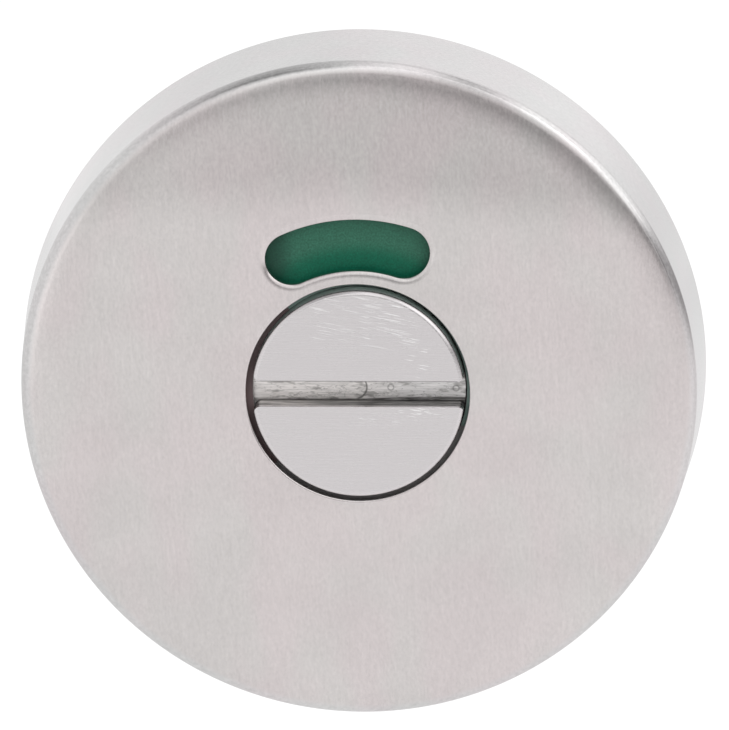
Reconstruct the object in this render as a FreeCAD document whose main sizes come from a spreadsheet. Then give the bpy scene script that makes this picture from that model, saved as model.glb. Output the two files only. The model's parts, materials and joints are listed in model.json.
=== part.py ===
"""Outside release rose of a bathroom lock, with a coin slot and a green and red indicator.

Millimetres. X is to the right and Z up, seen from the front. Y runs into the door: the door's face is at
Y = 0 and the rose faces -Y. The origin is on the spindle's axis, in the plane of the door's face. A level
is a distance out of the door towards the viewer, so it is -Y. At rest the lock is free and the window
shows green.
"""
import FreeCAD, Part
import math
import os
import Sketcher

DRIVING_SIZES = [
    # Cover: a pressed sheet cup with a slight taper
    ("cover_diameter", 52.0),
    ("cover_depth", 8.5),
    ("cover_taper", 0.7),
    ("sheet_thickness", 0.6),
    ("bend_radius", 0.1),
    ("cover_hole_diameter", 16.8),
    ("window_inner_radius", 9.3),
    ("window_outer_radius", 13.35),
    ("window_span", 43.2),
    ("cover_turn", 3.5),
    ("cover_shift", 0.1),
    # Base plate: a moulding that everything is carried on
    ("base_floor", 2.0),
    ("base_clearance", 0.15),
    ("rim_height", 5.0),
    ("rim_wall", 1.6),
    ("boss_height", 3.4),
    ("boss_wall", 2.3),
    ("spigot_length", 2.5),
    ("rib_count", 8),
    ("rib_thickness", 1.2),
    ("rib_height", 1.2),
    ("screw_inset", 7.0),
    ("screw_hole_diameter", 4.2),
    ("countersink_depth", 1.0),
    # Wire ring that grips the cover
    ("wire_diameter", 1.0),
    ("wire_level", 3.3),
    ("wire_gap_angle", 16.0),
    ("grip_clearance", 0.03),
    # Bearing
    ("hub_diameter", 10.0),
    ("journal_clearance", 0.05),
    ("bush_wall", 1.5),
    ("flange_width", 1.6),
    ("flange_thickness", 0.6),
    ("running_gap", 0.2),
    # Release disc
    ("disc_diameter", 15.9),
    ("disc_proud", 0.3),
    ("disc_edge_radius", 0.35),
    ("slot_width", 1.95),
    ("slot_depth", 2.0),
    ("slot_corner_radius", 0.35),
    ("slot_step", 0.08),
    ("slot_step_end", 0.5),
    ("key_diameter", 11.8),
    ("key_flats", 10.2),
    ("groove_depth", 0.5),
    ("socket_roof", 1.0),
    ("end_margin", 1.2),
    ("end_chamfer", 0.4),
    # Indicator
    ("label_gap", 0.5),
    ("label_thickness", 0.15),
    ("label_overlap", 1.65),
    ("label_split_angle", 130.0),
    ("green_span", 150.0),
    ("red_span", 92.0),
    ("carrier_thickness", 1.0),
    ("carrier_margin", 0.2),
    ("cup_floor", 1.2),
    ("cup_wall", 1.15),
    ("seat_clearance", 0.1),
    # Stop
    ("turn_angle", 90.0),
    ("stop_angle", 225.0),
    ("stop_pin_diameter", 2.0),
    ("stop_clearance", 0.3),
    ("stop_pin_depth", 1.6),
    # Threaded posts for the bolts through the door
    ("post_inset", 7.0),
    ("post_diameter", 6.0),
    ("post_length", 24.0),
    ("post_head_flats", 7.0),
    ("post_head_height", 2.0),
    ("post_head_sink", 0.8),
    ("thread_bore_diameter", 3.3),
    ("thread_depth", 15.0),
    # Spindle and what holds the hub
    ("spindle_side", 5.0),
    ("spindle_reach", 50.0),
    ("spindle_clearance", 0.05),
    ("spindle_chamfer", 0.5),
    ("pin_diameter", 1.5),
    ("washer_thickness", 0.5),
    ("washer_width", 2.8),
    ("spring_thickness", 0.3),
    ("spring_height", 0.8),
    ("circlip_thickness", 0.8),
    ("circlip_width", 1.7),
    ("circlip_gap", 3.0),
    ("ear_diameter", 2.2),
    ("ear_hole_diameter", 1.0),
    ("assembly_clearance", 0.02),
]

doc = FreeCAD.newDocument("ReleaseRose")
sheet = doc.addObject("Spreadsheet::Sheet", "Sizes")
for row, (alias, number) in enumerate(DRIVING_SIZES, start=1):
    sheet.set(f"A{row}", alias)
    sheet.set(f"B{row}", str(number))
    sheet.setAlias(f"B{row}", alias)
doc.recompute()


class Size:
    """A size of the sheet, or one worked out from such sizes: its value now, and its expression."""

    def __init__(self, value, text):
        self.value = value
        self.text = text

    def join(self, other, sign, value):
        return Size(value, f"({self.text} {sign} {as_size(other).text})")

    def __add__(self, other):
        return self.join(other, "+", self.value + as_size(other).value)

    def __sub__(self, other):
        return self.join(other, "-", self.value - as_size(other).value)

    def __mul__(self, other):
        return self.join(other, "*", self.value * as_size(other).value)

    def __truediv__(self, other):
        return self.join(other, "/", self.value / as_size(other).value)

    def __neg__(self):
        return Size(-self.value, f"(-{self.text})")


def as_size(number):
    return number if isinstance(number, Size) else Size(float(number), str(number))


def sine(angle):
    return Size(math.sin(math.radians(angle.value)), f"sin({angle.text} * 1 deg)")


def cosine(angle):
    return Size(math.cos(math.radians(angle.value)), f"cos({angle.text} * 1 deg)")


def root(number):
    return Size(math.sqrt(number.value), f"sqrt({number.text})")


size = {alias: Size(float(number), f"Sizes.{alias}") for alias, number in DRIVING_SIZES}

# Radii
cover_radius = size["cover_diameter"] / 2
face_radius = cover_radius - size["cover_taper"]
cover_hole_radius = size["cover_hole_diameter"] / 2
edge_radius = size["bend_radius"] + size["sheet_thickness"]
disc_radius = size["disc_diameter"] / 2
hub_radius = size["hub_diameter"] / 2
bush_bore_radius = hub_radius + size["journal_clearance"]
bush_radius = bush_bore_radius + size["bush_wall"]
flange_radius = bush_radius + size["flange_width"]
boss_radius = bush_radius + size["boss_wall"]
key_radius = size["key_diameter"] / 2
groove_radius = hub_radius - size["groove_depth"]
cup_inner_radius = disc_radius + size["seat_clearance"]
cup_outer_radius = cup_inner_radius + size["cup_wall"]
label_outer_radius = size["window_outer_radius"] + size["label_overlap"]
carrier_radius = label_outer_radius + size["carrier_margin"]
stop_distance = (cup_outer_radius + carrier_radius) / 2
wire_radius = size["wire_diameter"] / 2
post_radius = size["post_diameter"] / 2
post_head_radius = size["post_head_flats"] / math.sqrt(3)
post_distance = cover_radius - size["post_inset"]
screw_distance = cover_radius - size["screw_inset"]
pin_radius = size["pin_diameter"] / 2
stop_pin_radius = size["stop_pin_diameter"] / 2

# Levels, from the door out
sheet_back = size["cover_depth"] - size["sheet_thickness"]
label_front = sheet_back - size["label_gap"]
carrier_front = label_front - size["label_thickness"]
carrier_back = carrier_front - size["carrier_thickness"]
bush_front = size["boss_height"] + size["flange_thickness"]
cup_back = bush_front + size["running_gap"]
cup_front = cup_back + size["cup_floor"]
disc_front = size["cover_depth"] + size["disc_proud"]
slot_level = disc_front - size["slot_depth"]
socket_top = cup_front - size["socket_roof"]
post_head_back = size["base_floor"] - size["post_head_sink"]

# Levels, from the door in
spigot_back = -size["spigot_length"]
washer_front = spigot_back - size["running_gap"]
washer_back = washer_front - size["washer_thickness"]
spring_front = washer_back - size["assembly_clearance"]
spring_back = spring_front - size["spring_height"]
circlip_front = spring_back - size["assembly_clearance"]
circlip_back = circlip_front - size["circlip_thickness"]
groove_back = circlip_back - size["assembly_clearance"]
pin_level = groove_back - size["end_margin"] - pin_radius
hub_back = pin_level - pin_radius - size["end_margin"]


def cover_inner_radius(level):
    """Radius of the cover's inner wall at a level: it tapers from the door's face to the front edge."""
    slope = size["cover_taper"] / size["cover_depth"]
    return cover_radius - size["sheet_thickness"] - slope * level


base_radius = cover_inner_radius(size["rim_height"]) - size["cover_shift"] - size["base_clearance"]
wire_centre_radius = (cover_inner_radius(size["wire_level"]) - size["cover_shift"]
                      - size["grip_clearance"] - wire_radius)
wire_groove_radius = wire_centre_radius - wire_radius - size["assembly_clearance"]
wire_groove_half = wire_radius + size["assembly_clearance"]


def bind(item, values):
    """Ties properties of an object to their expressions."""
    for name, number in values.items():
        item.setExpression(name, as_size(number).text)


def new_body(name):
    body = doc.addObject("PartDesign::Body", name)
    body.Label = name
    return body


def new_sketch(body, name, role="XY_Plane", level=None):
    """A sketch on one of the body's own planes. XZ_Plane looks out of the door, and may stand at a level."""
    sketch = body.newObject("Sketcher::SketchObject", f"{body.Name}_{name}_sketch")
    plane = next(item for item in body.Origin.OriginFeatures if item.Role == role)
    sketch.AttachmentSupport = [(plane, "")]
    sketch.MapMode = "FlatFace"
    if level is not None:
        sketch.AttachmentOffset = FreeCAD.Placement(FreeCAD.Vector(0, 0, level.value), FreeCAD.Rotation())
        bind(sketch, {"AttachmentOffset.Base.z": level})
    return sketch


def add_size(sketch, kind, references, number):
    """A dimension of the sketch, tied to its expression."""
    index = sketch.addConstraint(Sketcher.Constraint(kind, *references, number.value))
    sketch.renameConstraint(index, f"size_{index}")
    bind(sketch, {f"Constraints.size_{index}": number})


START, END, CENTRE = range(1, 4)
ORIGIN = (-1, START)
VERTICAL_AXIS = ORIGIN[0] - START


def fix_point(sketch, geometry, point, x, y):
    """Dimensions a point from the origin. An x of None puts it on the vertical axis."""
    if x is None:
        sketch.addConstraint(Sketcher.Constraint("PointOnObject", geometry, point, VERTICAL_AXIS))
    else:
        add_size(sketch, "DistanceX", (geometry, point), x)
    add_size(sketch, "DistanceY", (geometry, point), y)


def add_polygon(sketch, corners):
    """A closed outline through corners, each an x and a y from the origin."""
    places = [FreeCAD.Vector(0 if x is None else x.value, y.value, 0) for x, y in corners]
    lines = [sketch.addGeometry(Part.LineSegment(here, there), False)
             for here, there in zip(places, places[1:] + places[:1])]
    for line, following in zip(lines, lines[1:] + lines[:1]):
        sketch.addConstraint(Sketcher.Constraint("Coincident", line, END, following, START))
    for line, (x, y) in zip(lines, corners):
        fix_point(sketch, line, START, x, y)


def add_rectangle(sketch, left, right, low, high):
    add_polygon(sketch, [(left, low), (right, low), (right, high), (left, high)])


def add_circle(sketch, radius, x=None, y=None):
    """A circle about the origin, or about a point."""
    centre = FreeCAD.Vector(x.value if x else 0, y.value if y else 0, 0)
    circle = sketch.addGeometry(Part.Circle(centre, FreeCAD.Vector(0, 0, 1), radius.value), False)
    if x is None and y is None:
        sketch.addConstraint(Sketcher.Constraint("Coincident", circle, CENTRE, *ORIGIN))
    else:
        fix_point(sketch, circle, CENTRE, x, y)
    add_size(sketch, "Radius", (circle,), radius)


def add_arc(sketch, centre, radius, start, finish):
    """An arc that runs anticlockwise between two angles in degrees."""
    circle = Part.Circle(centre, FreeCAD.Vector(0, 0, 1), radius)
    return sketch.addGeometry(Part.ArcOfCircle(circle, math.radians(start), math.radians(finish)), False)


def add_arc_slot(sketch, inner, outer, start, span):
    """A slot with round ends along an arc about the origin. The angles are those of its end centres."""
    middle, half = (inner.value + outer.value) / 2, (outer.value - inner.value) / 2
    first, last = start.value, start.value + span.value
    centres = [FreeCAD.Vector(middle * math.cos(math.radians(a)), middle * math.sin(math.radians(a)), 0)
               for a in (first, last)]
    zero = FreeCAD.Vector(0, 0, 0)
    outside = add_arc(sketch, zero, outer.value, first, last)
    inside = add_arc(sketch, zero, inner.value, first, last)
    start_end = add_arc(sketch, centres[0], half, first + 180, first + 360)
    last_end = add_arc(sketch, centres[1], half, last, last + 180)
    for arc, radius in ((outside, outer), (inside, inner)):
        sketch.addConstraint(Sketcher.Constraint("Coincident", arc, CENTRE, *ORIGIN))
        add_size(sketch, "Radius", (arc,), radius)
    for one, one_point, other, other_point in (
            (outside, START, start_end, END), (inside, START, start_end, START),
            (outside, END, last_end, START), (inside, END, last_end, END)):
        sketch.addConstraint(Sketcher.Constraint("Tangent", one, one_point, other, other_point))
    for arc, centre, angle in ((start_end, centres[0], start), (last_end, centres[1], start + span)):
        spoke = sketch.addGeometry(Part.LineSegment(zero, centre), True)
        sketch.addConstraint(Sketcher.Constraint("Coincident", spoke, START, *ORIGIN))
        sketch.addConstraint(Sketcher.Constraint("Coincident", spoke, END, arc, CENTRE))
        index = sketch.addConstraint(Sketcher.Constraint("Angle", spoke, math.radians(angle.value)))
        sketch.renameConstraint(index, f"angle_{index}")
        sketch.setExpression(f"Constraints.angle_{index}", f"{angle.text} * 1 deg")


def add_double_d(sketch, radius, flats):
    """A round outline with two flats, above and below the origin."""
    half = flats / 2
    reach = root(radius * radius - half * half)
    turn = math.degrees(math.atan2(half.value, reach.value))
    corner = {(side, end): FreeCAD.Vector(side * reach.value, end * half.value, 0)
              for side in (-1, 1) for end in (-1, 1)}
    zero = FreeCAD.Vector(0, 0, 0)
    right = add_arc(sketch, zero, radius.value, -turn, turn)
    left = add_arc(sketch, zero, radius.value, 180 - turn, 180 + turn)
    top = sketch.addGeometry(Part.LineSegment(corner[1, 1], corner[-1, 1]), False)
    bottom = sketch.addGeometry(Part.LineSegment(corner[-1, -1], corner[1, -1]), False)
    for arc in (right, left):
        sketch.addConstraint(Sketcher.Constraint("Coincident", arc, CENTRE, *ORIGIN))
        add_size(sketch, "Radius", (arc,), radius)
    for one, other in ((right, top), (top, left), (left, bottom), (bottom, right)):
        sketch.addConstraint(Sketcher.Constraint("Coincident", one, END, other, START))
    for line, height in ((top, half), (bottom, -half)):
        sketch.addConstraint(Sketcher.Constraint("Horizontal", line))
        add_size(sketch, "DistanceY", (line, START), height)


def add_hexagon(sketch, flats, x):
    """A hexagon with flats above and below its centre, which lies on the horizontal axis."""
    far = flats / math.sqrt(3)
    near = far / 2
    half = flats / 2
    low = -half
    level = as_size(0.0)
    add_polygon(sketch, [(x + far, level), (x + near, half), (x - near, half),
                         (x - far, level), (x - near, low), (x + near, low)])


def feature(body, kind, name, sketch, values=None, **settings):
    """A PartDesign feature from a sketch, with its sizes tied to expressions."""
    made = body.newObject(f"PartDesign::{kind}", f"{body.Name}_{name}")
    made.Profile = sketch
    for key, setting in settings.items():
        setattr(made, key, setting)
    bind(made, values or {})
    return made


def turned(body, name, corners, kind="Revolution", angle=None):
    """A turned shape from corners, each a radius and a level."""
    sketch = new_sketch(body, name)
    add_polygon(sketch, [(radius, -level) for radius, level in corners])
    made = feature(body, kind, name, sketch, ReferenceAxis=(sketch, ["V_Axis"]))
    made.Angle = 360.0
    if angle is not None:
        bind(made, {"Angle": angle})
    return made


def turn_about_axis(item, angle, base_x=None):
    """Turns a sub-part anticlockwise about the axis, seen from the front, and may shift it sideways."""
    shift = 0 if base_x is None else base_x.value
    rotation = FreeCAD.Rotation(FreeCAD.Vector(0, -1, 0), angle.value)
    item.Placement = FreeCAD.Placement(FreeCAD.Vector(shift, 0, 0), rotation)
    bind(item, {"Placement.Rotation.Angle": angle})
    if base_x is not None:
        bind(item, {"Placement.Base.x": base_x})


def edge_names(item, wanted):
    """Names of the edges of a feature's shape that pass a test."""
    doc.recompute()
    return [f"Edge{n}" for n, edge in enumerate(item.Shape.Edges, start=1) if wanted(edge)]


def is_ring(edge, radius, level):
    """True for a whole circle about the spindle's axis with this radius, at this level."""
    near = 1e-4
    curve = edge.Curve
    return (curve.TypeId == "Part::GeomCircle" and abs(curve.Radius - radius.value) < near
            and abs(curve.Center.x) < near and abs(curve.Center.z) < near
            and abs(curve.Center.y + level.value) < near)


def is_straight_along_y(edge):
    first, last = edge.Vertexes[0].Point, edge.Vertexes[-1].Point
    return edge.Curve.TypeId == "Part::GeomLine" and abs(first.x - last.x) + abs(first.z - last.z) < 1e-4


def round_edges(body, name, base, wanted, radius):
    fillet = body.newObject("PartDesign::Fillet", f"{body.Name}_{name}")
    fillet.Base = (base, edge_names(base, wanted))
    fillet.Radius = radius.value
    bind(fillet, {"Radius": radius})
    return fillet


def chamfer_edges(body, name, base, wanted, length):
    chamfer = body.newObject("PartDesign::Chamfer", f"{body.Name}_{name}")
    chamfer.Base = (base, edge_names(base, wanted))
    chamfer.Size = length.value
    bind(chamfer, {"Size": length})
    return chamfer


def make_cover():
    """Pressed cup: tapered wall, flat face, round hole and curved window. It sits turned and off centre."""
    body = new_body("cover")
    inner_face_radius = cover_inner_radius(sheet_back)
    cup = turned(body, "cup", [
        (cover_radius, as_size(0.0)), (face_radius, size["cover_depth"]),
        (cover_hole_radius, size["cover_depth"]), (cover_hole_radius, sheet_back),
        (inner_face_radius, sheet_back), (cover_radius - size["sheet_thickness"], as_size(0.0))])
    outer = round_edges(body, "outer_bend", cup,
                        lambda edge: is_ring(edge, face_radius, size["cover_depth"]), edge_radius)
    round_edges(body, "inner_bend", outer,
                lambda edge: is_ring(edge, inner_face_radius, sheet_back), size["bend_radius"])
    sketch = new_sketch(body, "window", "XZ_Plane", size["cover_depth"])
    add_arc_slot(sketch, size["window_inner_radius"], size["window_outer_radius"],
                 -size["window_span"] / 2 + 90, size["window_span"])
    feature(body, "Pocket", "window", sketch, {"Length": size["sheet_thickness"] * 2})
    turn_about_axis(body, size["cover_turn"], -size["cover_shift"])
    return body


def make_base_plate():
    """Moulding: floor, rim with the wire's groove, boss and spigot for the bush, ribs, and the holes."""
    body = new_body("base_plate")
    wire_level, floor, rim_top = size["wire_level"], size["base_floor"], size["rim_height"]
    rim_inner_radius = base_radius - size["rim_wall"]
    turned(body, "plate", [
        (bush_radius, spigot_back), (boss_radius, spigot_back), (boss_radius, as_size(0.0)),
        (base_radius, as_size(0.0)), (base_radius, wire_level - wire_groove_half),
        (wire_groove_radius, wire_level - wire_groove_half),
        (wire_groove_radius, wire_level + wire_groove_half),
        (base_radius, wire_level + wire_groove_half), (base_radius, rim_top), (rim_inner_radius, rim_top),
        (rim_inner_radius, floor), (boss_radius, floor), (boss_radius, size["boss_height"]),
        (bush_radius, size["boss_height"])])
    rib_sketch = new_sketch(body, "rib", "XZ_Plane", floor)
    half = size["rib_thickness"] / 2
    add_rectangle(rib_sketch, boss_radius - half, rim_inner_radius + half, -half, half)
    rib = feature(body, "Pad", "rib", rib_sketch, {"Length": size["rib_height"]})
    ribs = body.newObject("PartDesign::PolarPattern", "base_plate_ribs")
    ribs.Originals = [rib]
    ribs.Axis = (rib_sketch, ["N_Axis"])
    ribs.Angle = 360.0
    bind(ribs, {"Occurrences": size["rib_count"]})
    body.Tip = ribs
    bind(rib_sketch, {"AttachmentOffset.Rotation.Angle": as_size(180) / size["rib_count"]})
    cut_post_seats(body)
    cut_screw_holes(body)
    boss_height = size["boss_height"]
    pin_sketch = new_sketch(body, "stop_hole", "XZ_Plane", boss_height)
    add_circle(pin_sketch, stop_pin_radius, *stop_place())
    feature(body, "Pocket", "stop_hole", pin_sketch, {"Length": boss_height - floor + size["stop_pin_depth"]})
    return body


def cut_post_seats(body):
    """A bore and a hexagonal seat for each post, with room round its head in the rim and ribs."""
    above = size["rim_height"]
    room = new_sketch(body, "head_room", "XZ_Plane", above)
    seat = new_sketch(body, "head_seat", "XZ_Plane", above)
    bore = new_sketch(body, "post_bore", "XZ_Plane", above)
    for x in (-post_distance, post_distance):
        add_circle(room, post_head_radius + size["stop_clearance"], x, as_size(0.0))
        add_hexagon(seat, size["post_head_flats"] + size["assembly_clearance"] * 2, x)
        add_circle(bore, post_radius, x, as_size(0.0))
    feature(body, "Pocket", "head_room", room, {"Length": above - size["base_floor"]})
    feature(body, "Pocket", "head_seat", seat, {"Length": above - post_head_back})
    feature(body, "Pocket", "post_bore", bore, Type="ThroughAll")


def cut_screw_holes(body):
    """Two countersunk holes for wood screws, above and below the boss."""
    radius = size["screw_hole_diameter"] / 2
    sketch = new_sketch(body, "screw_hole", "XZ_Plane", size["rim_height"])
    for z in (-screw_distance, screw_distance):
        add_circle(sketch, radius, None, z)
    holes = feature(body, "Pocket", "screw_hole", sketch, Type="ThroughAll")

    def is_mouth(edge):
        curve = edge.Curve
        return (curve.TypeId == "Part::GeomCircle" and abs(curve.Radius - radius.value) < 1e-4
                and abs(abs(curve.Center.z) - screw_distance.value) < 1e-4
                and abs(curve.Center.y + size["base_floor"].value) < 1e-4)

    chamfer_edges(body, "countersink", holes, is_mouth, size["countersink_depth"])


def stop_place():
    """Where the stop pin stands, seen from the front."""
    angle = size["stop_angle"]
    return stop_distance * cosine(angle), stop_distance * sine(angle)


def make_cover_grip_ring():
    """Split ring of round wire in the rim's groove, with its gap at the bottom."""
    body = new_body("cover_grip_ring")
    sketch = new_sketch(body, "wire")
    add_circle(sketch, wire_radius, wire_centre_radius, -size["wire_level"])
    feature(body, "Revolution", "wire", sketch, {"Angle": as_size(360) - size["wire_gap_angle"]},
            ReferenceAxis=(sketch, ["V_Axis"]))
    turn_about_axis(body, as_size(270) - size["wire_gap_angle"] / 2)
    return body


def make_bearing_bush():
    """Flanged plain bush, pressed into the boss."""
    body = new_body("bearing_bush")
    turned(body, "bush", [
        (bush_bore_radius, spigot_back), (bush_radius, spigot_back), (bush_radius, size["boss_height"]),
        (flange_radius, size["boss_height"]), (flange_radius, bush_front), (bush_bore_radius, bush_front)])
    return body


def make_threaded_post(side, name):
    """Post with a hexagonal head in the base plate and a tapped bore from its free end."""
    body = new_body(name)
    bore_radius = size["thread_bore_diameter"] / 2
    end = -size["post_length"]
    bore_end = end + size["thread_depth"]
    cone_tip = bore_end + bore_radius / 2
    chamfer = size["end_chamfer"]
    turned(body, "shank", [
        (None, post_head_back), (post_radius, post_head_back), (post_radius, end + chamfer),
        (post_radius - chamfer, end), (bore_radius, end), (bore_radius, bore_end), (None, cone_tip)])
    sketch = new_sketch(body, "head", "XZ_Plane", post_head_back)
    add_hexagon(sketch, size["post_head_flats"], as_size(0.0))
    feature(body, "Pad", "head", sketch, {"Length": size["post_head_height"]})
    bind(body, {"Placement.Base.x": post_distance * side})
    return body


def make_stop_pin():
    """Dowel pin that stands in the base plate and runs in the indicator's slot."""
    body = new_body("stop_pin")
    foot = size["base_floor"] - size["stop_pin_depth"]
    head = carrier_front - size["stop_clearance"]
    chamfer = size["end_chamfer"] / 2
    turned(body, "pin", [
        (None, foot), (stop_pin_radius - chamfer, foot), (stop_pin_radius, foot + chamfer),
        (stop_pin_radius, head - chamfer), (stop_pin_radius - chamfer, head), (None, head)])
    x, z = stop_place()
    bind(body, {"Placement.Base.x": x, "Placement.Base.z": z})
    return body


def make_release_disc():
    """Turned disc and hub in one: coin slot, key for the indicator, circlip groove, square socket."""
    body = new_body("release_disc")
    chamfer = size["end_chamfer"]
    disc = turned(body, "disc", [
        (None, disc_front), (disc_radius, disc_front), (disc_radius, cup_front), (hub_radius, cup_front),
        (hub_radius, circlip_front), (groove_radius, circlip_front), (groove_radius, groove_back),
        (hub_radius, groove_back), (hub_radius, hub_back + chamfer), (hub_radius - chamfer, hub_back),
        (None, hub_back)])
    round_edges(body, "edge", disc, lambda e: is_ring(e, disc_radius, disc_front), size["disc_edge_radius"])
    key = new_sketch(body, "key", "XZ_Plane", cup_back)
    add_double_d(key, key_radius, size["key_flats"])
    feature(body, "Pad", "key", key, {"Length": size["cup_floor"]})
    cut_coin_slot(body)
    socket = new_sketch(body, "socket", "XZ_Plane", hub_back)
    half = size["spindle_side"] / 2 + size["spindle_clearance"]
    add_rectangle(socket, -half, half, -half, half)
    feature(body, "Pocket", "socket", socket, {"Length": socket_top - hub_back}, Reversed=True)
    pin_hole = new_sketch(body, "pin_hole", "YZ_Plane")
    add_circle(pin_hole, pin_radius, -pin_level, as_size(0.0))
    feature(body, "Pocket", "pin_hole", pin_hole, Type="ThroughAll", Midplane=True)
    return body


def cut_coin_slot(body):
    """Milled slot across the disc, with rounded mouths. Its left half is a second, slightly deeper pass."""
    half = size["slot_width"] / 2
    reach = size["disc_diameter"]
    slot = new_sketch(body, "slot", "XZ_Plane", disc_front)
    add_rectangle(slot, -reach, reach, -half, half)
    cut = feature(body, "Pocket", "slot", slot, {"Length": size["slot_depth"]})

    def is_mouth(edge):
        point = edge.Vertexes[0].Point
        return (is_straight_along_y(edge) and abs(abs(point.z) - half.value) < 1e-4
                and abs(math.hypot(point.x, point.z) - disc_radius.value) < 1e-4)

    round_edges(body, "slot_mouth", cut, is_mouth, size["slot_corner_radius"])
    second = new_sketch(body, "second_pass", "XZ_Plane", slot_level)
    tip = size["slot_step_end"] - half
    arc = add_arc(second, FreeCAD.Vector(tip.value, 0, 0), half.value, -90, 90)
    corners = [(tip, half), (-reach, half), (-reach, -half), (tip, -half)]
    places = [FreeCAD.Vector(x.value, y.value, 0) for x, y in corners]
    lines = [second.addGeometry(Part.LineSegment(here, there), False)
             for here, there in zip(places, places[1:])]
    chain = [arc, *lines]
    for one, other in zip(chain, chain[1:] + chain[:1]):
        second.addConstraint(Sketcher.Constraint("Coincident", one, END, other, START))
    for line, corner in zip(lines[1:], corners[1:]):
        fix_point(second, line, START, *corner)
    fix_point(second, arc, CENTRE, tip, as_size(0.0))
    for point in (START, END):
        add_size(second, "DistanceX", (arc, point), tip)
    add_size(second, "Radius", (arc,), half)
    feature(body, "Pocket", "second_pass", second, {"Length": size["slot_step"]})


def make_indicator_disc():
    """Moulded cup for the release disc, with a wide flange for the labels and the stop's slot.

    The key's hole takes in the pilot hole.
    """
    body = new_body("indicator_disc")
    bore_radius = key_radius + size["seat_clearance"]
    pilot_radius = size["hub_diameter"] / 4
    turned(body, "cup", [
        (pilot_radius, cup_back), (cup_outer_radius, cup_back), (cup_outer_radius, carrier_back),
        (carrier_radius, carrier_back), (carrier_radius, carrier_front), (cup_inner_radius, carrier_front),
        (cup_inner_radius, cup_front), (pilot_radius, cup_front)])
    key = new_sketch(body, "key_hole", "XZ_Plane", cup_front)
    add_double_d(key, bore_radius, size["key_flats"] + size["seat_clearance"] * 2)
    feature(body, "Pocket", "key_hole", key, {"Length": size["cup_floor"]})
    slot = new_sketch(body, "stop_slot", "XZ_Plane", carrier_front)
    reach = stop_pin_radius + size["stop_clearance"]
    add_arc_slot(slot, stop_distance - reach, stop_distance + reach, size["stop_angle"], size["turn_angle"])
    feature(body, "Pocket", "stop_slot", slot, {"Length": size["carrier_thickness"]})
    return body


def make_label(name, first_angle, span):
    """Part ring of coloured film on the indicator disc. It starts at an angle and runs anticlockwise."""
    body = new_body(name)
    inner_radius = cup_inner_radius + size["assembly_clearance"]
    turned(body, "film", [
        (inner_radius, carrier_front), (label_outer_radius, carrier_front),
        (label_outer_radius, label_front), (inner_radius, label_front)], angle=span)
    turn_about_axis(body, first_angle + span)
    return body


def make_spindle():
    """Square bar through the door, chamfered at its free end, with a cross hole for its pin."""
    side = size["spindle_side"]
    bar = doc.addObject("Part::Box", "spindle_bar")
    bind(bar, {"Length": side, "Width": size["spindle_reach"] + socket_top, "Height": side,
               "Placement.Base.x": -side / 2, "Placement.Base.y": -socket_top, "Placement.Base.z": -side / 2})
    doc.recompute()
    far = [n for n, edge in enumerate(bar.Shape.Edges, start=1)
           if all(abs(v.Point.y - size["spindle_reach"].value) < 1e-4 for v in edge.Vertexes)]
    chamfered = doc.addObject("Part::Chamfer", "spindle_chamfered")
    chamfered.Base = bar
    chamfer = size["spindle_chamfer"].value
    chamfered.Edges = [(n, chamfer, chamfer) for n in far]
    hole = add_cross_cylinder("spindle_pin_hole", side * 2)
    spindle = doc.addObject("Part::Cut", "spindle")
    spindle.Base = chamfered
    spindle.Tool = hole
    spindle.Label = "spindle"
    return spindle


def add_cross_cylinder(name, length):
    """A cylinder of the pin's diameter along X, centred on the hub's cross hole."""
    cylinder = doc.addObject("Part::Cylinder", name)
    cylinder.Label = name
    cylinder.Placement.Rotation = FreeCAD.Rotation(FreeCAD.Vector(0, 1, 0), 90)
    bind(cylinder, {"Radius": pin_radius, "Height": length,
                    "Placement.Base.x": -length / 2, "Placement.Base.y": -pin_level})
    return cylinder


def make_thrust_washer():
    """Flat washer behind the spigot."""
    inner_radius = hub_radius + size["journal_clearance"]
    outer_radius = inner_radius + size["washer_width"]
    discs = []
    for name, radius in (("washer_blank", outer_radius), ("washer_bore", inner_radius)):
        disc = doc.addObject("Part::Cylinder", name)
        disc.Placement.Rotation = FreeCAD.Rotation(FreeCAD.Vector(1, 0, 0), -90)
        bind(disc, {"Radius": radius, "Height": size["washer_thickness"], "Placement.Base.y": -washer_front})
        discs.append(disc)
    washer = doc.addObject("Part::Cut", "thrust_washer")
    washer.Base, washer.Tool = discs
    washer.Label = "thrust_washer"
    return washer


def make_spring_washer():
    """Conical spring washer: its wide rim bears on the thrust washer, its bore edge on the circlip."""
    body = new_body("spring_washer")
    inner_radius = hub_radius + size["journal_clearance"]
    outer_radius = inner_radius + size["washer_width"]
    thickness = size["spring_thickness"]
    turned(body, "cone", [
        (outer_radius, spring_front), (inner_radius, spring_back + thickness), (inner_radius, spring_back),
        (outer_radius, spring_front - thickness)])
    return body


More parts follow.
